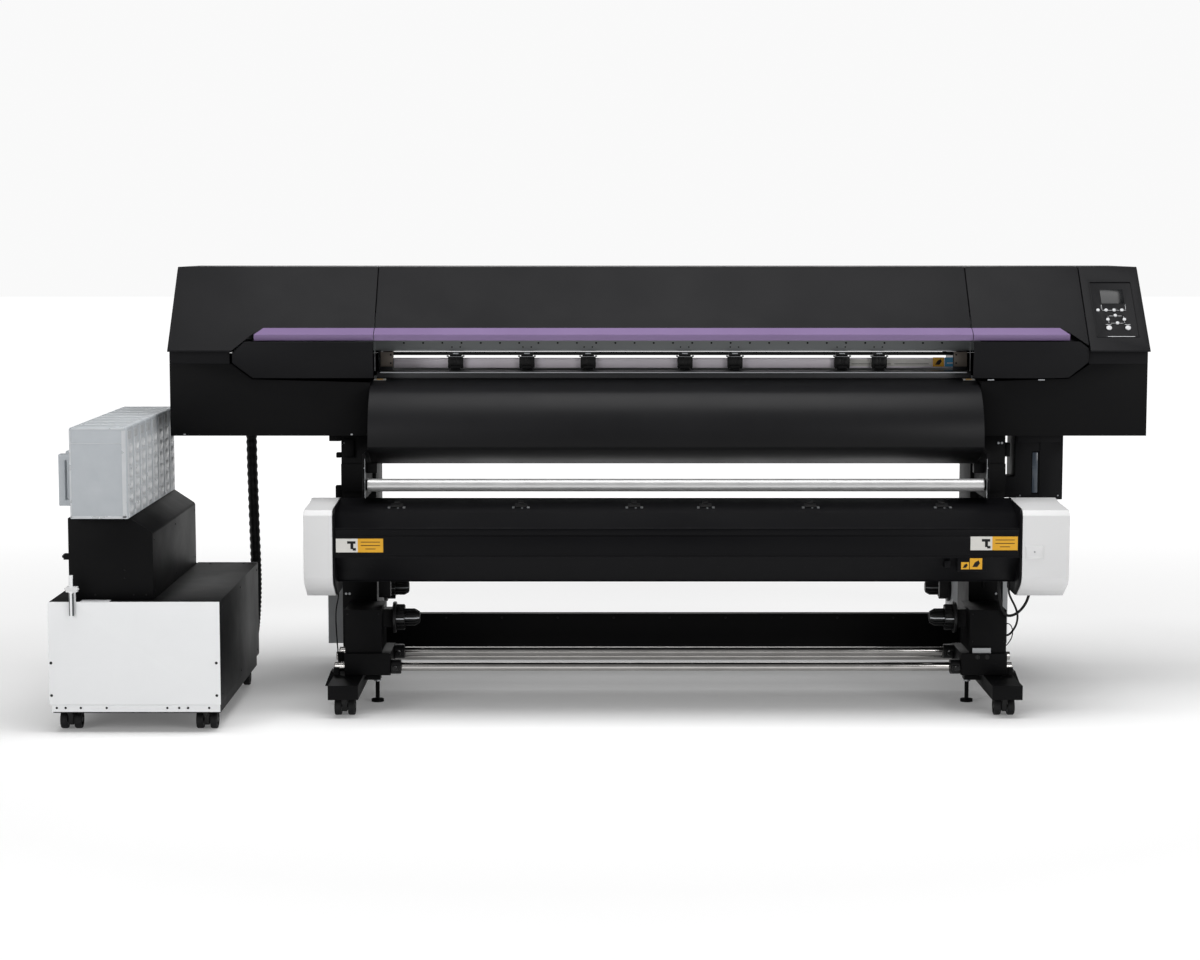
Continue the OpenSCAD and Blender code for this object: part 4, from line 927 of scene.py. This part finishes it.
# Raised lip round the recess, a light grey strip along its lower edge as a painted highlight, and the
# printing on the panel
lip = bmesh.new()
for s, w, h in ((57.4, 122, 2.4), (262.6, 122, 2.4)):
    face_block(lip, panel_x + 84, s, w, h, -1.5, 1.2)
for x in (-60.2, 60.2):
    face_block(lip, panel_x + 84 + x, 160, 2.4, 205, -1.5, 1.2)
piece_from("panel_lip", lip, abs_skin, "root")
painted_lip_highlight = bmesh.new()
face_block(painted_lip_highlight, panel_x + 92, 262.8, 78, 1.4, 1.0, 1.6)
piece_from("panel_lip_painted_highlight", painted_lip_highlight, key_finish, "root")
printing = bmesh.new()
for x in (-12, 11):
    face_block(printing, panel_x + 84 + x, 163, 10, 0.9, -2.0, -1.7)
for x, s, w, h in ((-34.5, 151, 0.9, 18), (34, 151, 0.9, 18), (-29, 163, 9, 0.9), (29.5, 163, 8, 0.9),
                   (-11, 184, 12, 0.9), (13, 184, 12, 0.9), (-8, 211, 13, 0.9), (15, 211, 11, 0.9),
                   (-20, 190, 0.9, 8), (24, 190, 0.9, 8), (-20, 206, 0.9, 8), (25, 206, 0.9, 8),
                   (-22, 216, 16, 1.2), (32, 216, 16, 1.2)):
    face_block(printing, panel_x + 84 + x, s, w, h, -2.0, -1.7)
bmesh.ops.recalc_face_normals(printing, faces=printing.faces)
piece_from("panel_printing", printing, key_finish, "root")

# ------------------------------------------------------------------ waste-ink tank
# Black blow-moulded polyethylene tank under the right cover, with a smoked
# sight strip, a moulded rib and a latch plate at its top.
softened("waste_ink_tank", "waste_ink_tank_moulding", 2.5 * MM, abs_skin)
sight = worn(new_finish("smoked_sight_window", "#3a4450", 0.25, 0.0, 0.2),
             "#46515e", "#303944", 40, 0.2, 0.3)
sight_strip = bmesh.new()
box_mm(sight_strip, (1222, -10.5, 592), (1238, -6, 710))
eased(sight_strip, 1)
piece_from("tank_sight_strip", sight_strip, sight, "root")

tank_bits = bmesh.new()
box_mm(tank_bits, (1243, -12, 574), (1245.5, -9.5, 768))
box_mm(tank_bits, (1178, -12, 740), (1304, -9.5, 766))
eased(tank_bits, 1)
piece_from("tank_ribs", tank_bits, abs_skin, "root")
tank_plate = bmesh.new()
box_mm(tank_plate, (1250, -13.5, 760), (1306, -12, 770))
box_mm(tank_plate, (1262, -14.2, 763), (1294, -13.5, 767))
piece_from("tank_latch_plate", tank_plate, zinc, "root")
screws("tank_screws", [((x, -10.5, z), FRONT) for x, z in ((1188, 584), (1188, 752), (1298, 584))], 2.6, zinc)

# ------------------------------------------------------------------ dryer
# A folded steel housing with a fan bar along its front, between two white ABS
# end caps. Catches hold its top sheet, and it stands on two flat feet.
gloss_coat = worn(new_finish("dryer_coat", "#0d0d0f", 0.4, specular=0.08),
                  "#0f0f11", "#0a0a0c", 260, 0.36, 0.46, grain_mm=2.0, depth_mm=0.02)
softened("dryer_housing", "dryer_housing_steel", 1.2 * MM, gloss_coat)
dryer_low, dryer_high = (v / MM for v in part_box("dryer_housing"))
# Rolled lip, groove and lower edge that run the length of the front
bar_lines = bmesh.new()
for y, z, size in ((-409.6, 457, 4.5), (-408.2, 534.5, 3), (-332, 378.6, 2.5)):
    r = size / 2 * MM
    lathe(bar_lines, [(dryer_low.x * MM, 0), (dryer_low.x * MM, r), (dryer_high.x * MM, r),
                      (dryer_high.x * MM, 0)], Vector((0, y, z)) * MM, sides=12)
bmesh.ops.recalc_face_normals(bar_lines, faces=bar_lines.faces)
piece_from("dryer_lips", bar_lines, gloss_coat, "root")
front_sheet = bmesh.new()
box_mm(front_sheet, (dryer_low.x + 8, -411.4, 463), (dryer_high.x - 8, -409.2, 514))
box_mm(front_sheet, (dryer_low.x + 8, -410.6, 518), (dryer_high.x - 8, -408.4, 532))
eased(front_sheet, 0.8)
piece_from("dryer_front_bar", front_sheet, gloss_coat, "root")
top_tilt = math.atan2(30, 130)
catches = bmesh.new()
tongues = bmesh.new()
for x in (-603, -256, 61, 261, 554, 923):
    tilted_box(catches, (x, -285, 585.6), (34, 26, 5), top_tilt)
    tilted_box(catches, (x, -268, 592), (16, 18, 8), top_tilt)
    for s in (-1, 1):
        tilted_box(tongues, (x + s * 21, -300, 582), (7, 12, 3.2), top_tilt)
    tilted_box(tongues, (x + 4, -304, 580.8), (5, 5, 2.2), top_tilt)
eased(catches, 1.2)
eased(tongues, 0.6)
piece_from("dryer_catches", catches, nylon, "root")
piece_from("dryer_catch_tongues", tongues, zinc, "root")
band_out = Vector((0, -79, -80)).normalized()
screws("dryer_band_screws", [((-667 + 240 * i, -378.5, 426), tuple(band_out)) for i in range(8)], 2.6, oxide)
dryer_labels = bmesh.new()
for x, z in ((-762, 470), (985, 476)):
    label(dryer_labels, x, x + 60, z, z + 38, -411.4, WHITE)
    label(dryer_labels, x + 60, x + 130, z, z + 38, -411.4, YELLOW, bars=3)
    for low, high in (((x + 31, z + 24), (x + 54, z + 31)), ((x + 40, z + 9), (x + 48, z + 25)),
                      ((x + 46, z + 5), (x + 55, z + 12))):
        box_mm(dryer_labels, (low[0], -412.2, low[1]), (high[0], -412, high[1]), INK)
for x, width in ((960, 22), (984, 34)):
    label(dryer_labels, x, x + width, 423, 423 + width * 0.9, -411, YELLOW, mark=True)
labels_piece("dryer_labels", dryer_labels)
label_seats = bmesh.new()
box_mm(label_seats, (950, -411, 416), (1030, -380, 456))
box_mm(label_seats, (915, -408, 426), (931, -378, 446))
eased(label_seats, 1.5)
piece_from("dryer_label_seat", label_seats, gloss_coat, "root")
# Black end flanges between the housing and the caps
flanges = bmesh.new()
flange = [(-205, 600), (-250, 597), (-398, 590), (-411, 576), (-413, 560), (-413, 408), (-404, 384),
          (-334, 340), (-205, 342)]
for x0, x1 in ((dryer_low.x + 0.5, dryer_low.x + 6), (dryer_high.x - 6, dryer_high.x - 0.5)):
    slab_x(flanges, flange, x0, x1)
bmesh.ops.recalc_face_normals(flanges, faces=flanges.faces)
eased(flanges, 1.5)
piece_from("dryer_end_flanges", flanges, gloss_coat, "root")
# Flat lower feet of the dryer, which stand just inside the columns
posts = bmesh.new()
for x0, x1 in ((-671, -637), (944, 970)):
    box_mm(posts, (x0, -116, 300), (x1, -84, 378))
    box_mm(posts, (x0 - 4, -122, 366), (x1 + 4, -78, 378))
eased(posts, 2)
piece_from("takeup_posts", posts, powder, "root")
# White ABS: fine texture, very slightly warm in the shade
white_abs = worn(new_finish("white_abs", "#d8d8d8", 0.45),
                 "#dcdcdc", "#d2d2d3", 240, 0.4, 0.5, grain_mm=2.2, depth_mm=0.03)
softened("dryer_end_caps", "dryer_end_cap_mouldings", 3 * MM, white_abs, segments=3)

cap_bits = bmesh.new()
tilted_box(cap_bits, (1161, -417.6, 470), (44, 1.4, 30), 0)
box_mm(cap_bits, (1144, -419, 455), (1178, -417, 459))
eased(cap_bits, 0.6)
piece_from("cap_clip_plate", cap_bits, white_abs, "root")
screws("cap_screws", [((1161, -418.4, 472), FRONT)]
       + [((1257.4, y, z), RIGHT) for y, z in ((-395, 560), (-395, 420), (-215, 570))]
       + [((-851.4, y, z), LEFT) for y, z in ((-395, 560), (-215, 570))], 2.8, zinc)

# ------------------------------------------------------------------ take-up and supply units
# Folded-steel gear boxes, powder-coated and clamped to the pipes, with stepped
# nylon chucks that grip the media core. The left take-up unit slides to suit it.
for node in ("takeup_left_unit", "takeup_right_unit"):
    softened(node, node + "_steel", 2 * MM, powder)
grey_coat = worn(new_finish("grey_powder_coat", "#aeb0b2", 0.5, specular=0.3),
                 "#b4b6b8", "#a6a8aa", 200, 0.44, 0.56, grain_mm=2.2, depth_mm=0.04)
softened("supply_unit", "supply_housings", 2 * MM, grey_coat)
FINS = 12
FIN_HALF = 1.6


def core_chuck(bm, x, side, y, z):
    """A stepped chuck: flange, finned seats for the two core sizes, and a blunt nose."""
    centre = Vector((x, y, z)) * MM
    outline = [(-14, 0), (-14, 10), (0, 10), (0, 43), (2, 45), (8, 45), (10, 43), (10, 31),
               (34, 31), (34, 20), (66, 20), (77, 14), (77, 0)]
    lathe(bm, [(side * u * MM, r * MM) for u, r in outline], centre)
    for k in range(FINS):
        a = 2 * math.pi * k / FINS
        out = Vector((0, math.cos(a), math.sin(a)))
        across = Vector((0, -math.sin(a), math.cos(a)))
        fin = [(9, 12), (9, 37.5), (32, 37.5), (34, 35.5), (34, 25), (62, 25), (66, 23), (76, 17), (76, 12)]
        edges = between(bm, *([bm.verts.new(centre + MM * (Vector((side * u, 0, 0)) + out * r + across * s))
                               for u, r in fin] for s in (-FIN_HALF, FIN_HALF)))
        # Every third fin is edged with a bright steel strip
        for edge in edges if k % 3 == 0 else ():
            edge.material_index = 1


for name, node, chucks in (
        ("takeup_left_core_chuck", "takeup_left_chuck", ((media_cx - 806.5, 1, -125, 245),)),
        ("takeup_right_core_chuck", "takeup_right_chuck", ((media_cx + 811.5, -1, -125, 245),)),
        ("supply_core_chucks", "supply_chucks", ((media_cx - 883.5, 1, 510, 240),
                                                 (media_cx + 883.5, -1, 510, 240)))):
    chuck_mesh = bmesh.new()
    for placing in chucks:
        core_chuck(chuck_mesh, *placing)
    bmesh.ops.recalc_face_normals(chuck_mesh, faces=chuck_mesh.faces)
    chuck_piece = piece_from(name, chuck_mesh, nylon, frame["nodes"][node]["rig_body"], [node])
    chuck_piece.data.materials.append(zinc)

# Split collars that clamp the units to the pipes, each with a wing screw
for name, body, x0, x1 in (("left_pipe_collars", "takeup_left_unit", -629, -600),
                           ("right_pipe_collars", "root", 961, 990)):
    clamp = bmesh.new()
    for y, z in ((-215, 117), (-75, 137)):
        collar(clamp, x0, x1, y, z, 12.7, 21)
        box_mm(clamp, (x0 + 4, y - 29, z - 7), (x1 - 4, y - 18, z + 7))
        lathe(clamp, [(u * MM, r * MM) for u, r in ((-40, 0), (-40, 6), (-36, 7), (-28, 7), (-28, 0))],
              Vector(((x0 + x1) / 2, y, z)) * MM, axis="Y", sides=20)
    bmesh.ops.recalc_face_normals(clamp, faces=clamp.faces)
    piece_from(name, clamp, nylon, body)
# Connector block beside the right unit, its switch plate and knobs
switch = bmesh.new()
box_mm(switch, (1023, -230.6, 130), (1075, -228, 172))
eased(switch, 0.6)
piece_from("takeup_switch_plate", switch, grey_coat, "root")
knobs = bmesh.new()
for x in (1036, 1063):
    lathe(knobs, [(u * MM, r * MM) for u, r in ((-242, 0), (-242, 6), (-240, 7.6), (-230, 7.8), (-230, 0))],
          Vector((x, 0, 148)) * MM, axis="Y", sides=24)
    box_mm(knobs, (x - 1.2, -243.4, 142), (x + 1.2, -241, 154))
bmesh.ops.recalc_face_normals(knobs, faces=knobs.faces)
piece_from("takeup_knobs", knobs, nylon, "root")
screws("takeup_right_screws", [((x, -220.4, z), FRONT) for x in (1024, 1112) for z in (268, 190)]
       + [((1120.4, y, z), RIGHT) for y in (-205, -60) for z in (268, 134)], 2.6, oxide)
screws("takeup_left_screws", [((x, -220.4, z), FRONT) for x in (-751, -663) for z in (268, 134)], 2.6, oxide,
       body="takeup_left_unit")
screws("supply_screws", ends_of(media_cx, (-874.4, 1230.4), (440, 582), (92, 314)), 3, zinc)

# ------------------------------------------------------------------ ink cart
# A folded-steel cabinet on four casters with a white front panel, and the ink
# housing on top of it that the trays stand on.
softened("cart_cabinet", "cart_cabinet_steel", 1.6 * MM, powder)
white_coat = worn(new_finish("white_powder_coat", "#e9eaeb", 0.45),
                  "#edeeef", "#e3e4e5", 260, 0.4, 0.5, grain_mm=2.2, depth_mm=0.03)
softened("cart_front_panel", "cart_front_sheet", 1.2 * MM, white_coat)
softened("ink_housing", "ink_housing_steel", 2.2 * MM, powder)
cart_low, cart_high = (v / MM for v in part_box("cart_cabinet"))
panel_low, panel_high = (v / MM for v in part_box("cart_front_panel"))
sheet_y = -585
cart_rail = bmesh.new()
box_mm(cart_rail, (panel_low.x + 5, -579.5, 57), (panel_high.x - 2, -577, 77))
eased(cart_rail, 0.6)
piece_from("cart_base_rail", cart_rail, white_coat, "root")
screws("cart_panel_screws", [((x, sheet_y - 0.4, z), FRONT) for x in (panel_low.x + 6, panel_high.x - 10)
                             for z in (103, 192)], 4, oxide)
rail_screw_xs = (-1504, -1480, -1439, -1369, -1205, -1173, -1149, -1092)
screws("cart_rail_screws", [((x, -579.9, 68), FRONT) for x in rail_screw_xs], 3.4, oxide)
screws("cart_side_screws", [((cart_high.x + 0.4, y, z), RIGHT) for y in (-540, -180, 170) for z in (100, 340)]
       + [((cart_low.x - 0.4, y, z), LEFT) for y in (-540, -180, 170) for z in (100, 340)]
       + [((x, y, cart_high.z + 0.4), UP) for x in (-1100, -1200) for y in (-560, 180)], 3, oxide)
screws("ink_housing_screws", [((x, -545.4, z), FRONT) for x, z in (
    (-1320, 440), (-1320, 418), (-1296, 372), (-1262, 372), (-1400, 372))]
       + [((-1242.6, y, z), RIGHT) for y in (-520, -170, 170) for z in (380, 520)], 2.6, oxide)
row_of("cart_louvres", (-1400, 202.2, 230), (18, 0, 0), (8, 2.4, 90), 12, powder, "root")
# Slide-in slot cover on the panel's top edge, and the folded rear edge
cart_trims = bmesh.new()
box_mm(cart_trims, (-1434, sheet_y, 356.5), (-1356, -556, 360))
box_mm(cart_trims, (-1240, 196, 357.5), (-1062, 201.5, 360))
eased(cart_trims, 0.8)
piece_from("cart_top_trims", cart_trims, key_finish, "root")
# Drain tube: clear vinyl over a dark sleeve, in a white clip
smoke = worn(new_finish("smoked_vinyl_tube", "#3f4345", 0.3, specular=0.4),
             "#494d4f", "#33373a", 15, 0.25, 0.35)
drain = bmesh.new()
for z0, z1, r in ((321, 384, 6.4), (402, 424, 6.0), (424, 433, 3.6)):
    lathe(drain, [(z0 * MM, 0), (z0 * MM, (r - 1) * MM), ((z0 + 1) * MM, r * MM), ((z1 - 1) * MM, r * MM),
                  (z1 * MM, (r - 1) * MM), (z1 * MM, 0)], Vector((-1456, -590.5, 0)) * MM, axis="Z", sides=24)
bmesh.ops.recalc_face_normals(drain, faces=drain.faces)
piece_from("drain_tube", drain, smoke, "root")
clip = bmesh.new()
box_mm(clip, (-1470, -597, 388), (-1441, -583, 399))
box_mm(clip, (-1476, -586, 391), (-1436, -584, 396))
eased(clip, 1.2)
piece_from("drain_tube_clip", clip, white_abs, "root")
cock = bmesh.new()
lathe(cock, [(u * MM, r * MM) for u, r in ((-1492, 0), (-1492, 3), (-1484, 8), (-1471, 9), (-1471, 0))],
      Vector((0, -525, 474)) * MM, sides=20)
bmesh.ops.recalc_face_normals(cock, faces=cock.faces)
piece_from("drain_cock", cock, nylon, "root")

# ------------------------------------------------------------------ ink trays
# Eight frosted polypropylene trays with an ink pack inside each. Every tray
# has a framed front, a bossed right side and a loop grip at its left end.

# Frosted polypropylene: milky, slightly blue, light scattered inside it
frosted, frosted_tree, frosted_shader = new_finish("frosted_polypropylene", "#c0c5c9", 0.42)
frosted_shader.inputs["Transmission Weight"].default_value = 0.2
frosted_shader.inputs["IOR"].default_value = 1.49
worn((frosted, frosted_tree, frosted_shader), "#c8ccd0", "#b4babf", 50, 0.38, 0.48,
     grain_mm=2.5, depth_mm=0.03)
# Clearer polypropylene on the frame and the bosses, where the wall is thin
clear_pp, clear_tree, clear_shader = new_finish("thin_polypropylene", "#dcdfe2", 0.3)
clear_shader.inputs["Transmission Weight"].default_value = 0.3
vary(clear_tree, clear_shader, "#e4e6e8", "#ced2d5", 30, 0.25, 0.36)
for i in range(1, 9):
    tray = f"ink_tray_{i}"
    softened(tray, tray + "_shell", 2.5 * MM, frosted, segments=3)
    tray_low, tray_high = (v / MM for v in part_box(tray))
    right, front, back = tray_high.x, tray_low.y, tray_high.y
    left, foot, top = right - 156, tray_low.z, tray_high.z
    frame_bm = bmesh.new()
    for x0, x1, z0, z1 in (
            (left + 1, left + 5, foot + 3, top - 9), (right - 15, right - 4, foot + 3, top - 9),
            (left + 8, right - 8, top - 6, top - 2.5), (left + 2, right - 2, foot + 1, foot + 8),
            (left + 5, right - 15, top - 44, top - 42.6)):
        box_mm(frame_bm, (x0, front - 0.9, z0), (x1, front + 1, z1))
    box_mm(frame_bm, (left + 8, front + 4, top - 1), (right - 8, front + 7, top + 0.9))
    box_mm(frame_bm, (left + 8, back - 7, top - 1), (right - 8, back - 4, top + 0.9))
    box_mm(frame_bm, (right - 1, front + 6, foot + 2), (right + 1.2, front + 14, top - 10))
    eased(frame_bm, 0.5, segments=1)
    piece_from(tray + "_frame", frame_bm, clear_pp, tray)
    row_of(tray + "_bosses", (right - 0.5, (front + back) / 2 + 6, foot + 22), (0, 0, 33), (7, 50, 24), 6,
           clear_pp, tray)
    tab = bmesh.new()
    box_mm(tab, (right - 1, front + 20, top - 34), (right + 1.4, front + 52, top - 12))
    box_mm(tab, (left - 21, front + 34, foot + 46), (left - 19.6, front + 54, foot + 158))
    eased(tab, 0.5, segments=1)
    piece_from(tray + "_tab", tab, grey_coat, tray)

# ------------------------------------------------------------------ studio
# A pale floor that glows more with distance from the machine as painted light, four broad soft lights, and a
# world that is bright to the camera and dimmer as a light.
floor_mesh = bpy.data.meshes.new("floor")
floor_mesh.from_pydata([(-40, -20, 0), (40, -20, 0), (40, 40, 0), (-40, 40, 0)], [], [(0, 1, 2, 3)])
floor = bpy.data.objects.new("floor", floor_mesh)
scene.collection.objects.link(floor)
floor_finish, floor_tree, floor_shader = new_finish("pale_floor_painted_glow", "#f2f2f2", 0.9, specular=0.1)
# Painted light: the floor glows, more the further it lies from the machine, so that it stays white where the
# lamps fall off
floor_place = add(floor_tree, "ShaderNodeTexCoord")
reach = add(floor_tree, "ShaderNodeVectorMath", {"operation": "LENGTH"}, links={0: (floor_place, "Object")})
painted_glow_by_distance = add(floor_tree, "ShaderNodeMapRange",
              values={"From Min": 2.2, "From Max": 7, "To Min": 0.12, "To Max": 0.85},
              links={"Value": (reach, "Value")})
floor_shader.inputs["Emission Color"].default_value = (1, 1, 1, 1)
floor_tree.links.new(painted_glow_by_distance.outputs["Result"], floor_shader.inputs["Emission Strength"])
floor_mesh.materials.append(floor_finish)


def soft_light(name, place, target, size, power):
    """A broad rectangular light aimed at a target, its size in metres and its power in watts."""
    data = bpy.data.lights.new(name, "AREA")
    data.shape = "RECTANGLE"
    data.size, data.size_y = size
    data.energy = power
    light = bpy.data.objects.new(name, data)
    light.location = place
    light.rotation_euler = (Vector(target) - Vector(place)).to_track_quat("-Z", "Y").to_euler()
    scene.collection.objects.link(light)


soft_light("overhead", (0.1, -0.7, 4.6), (0.1, 0.1, 0.8), (5.5, 2.6), 190)
soft_light("front_left", (-4.8, -5.2, 2.6), (-0.2, 0, 0.6), (2.4, 2.4), 90)
soft_light("front_right", (4.8, -5.2, 2.6), (0.4, 0, 0.6), (2.4, 2.4), 90)
soft_light("rear", (0, 5.5, 3.2), (0, 0.3, 0.8), (4, 2), 60)

# The room is bright behind the machine and dimmer where it lights it
world = bpy.data.worlds.new("studio")
scene.world = world
world.use_nodes = True
room = world.node_tree
seen = add(room, "ShaderNodeLightPath")
level = add(room, "ShaderNodeMapRange", values={"To Min": 0.24, "To Max": 0.95},
            links={"Value": (seen, "Is Camera Ray")})
room.nodes["Background"].inputs["Color"].default_value = (1, 1, 1, 1)
room.links.new(level.outputs["Result"], room.nodes["Background"].inputs["Strength"])
scene.view_settings.view_transform = "Standard"
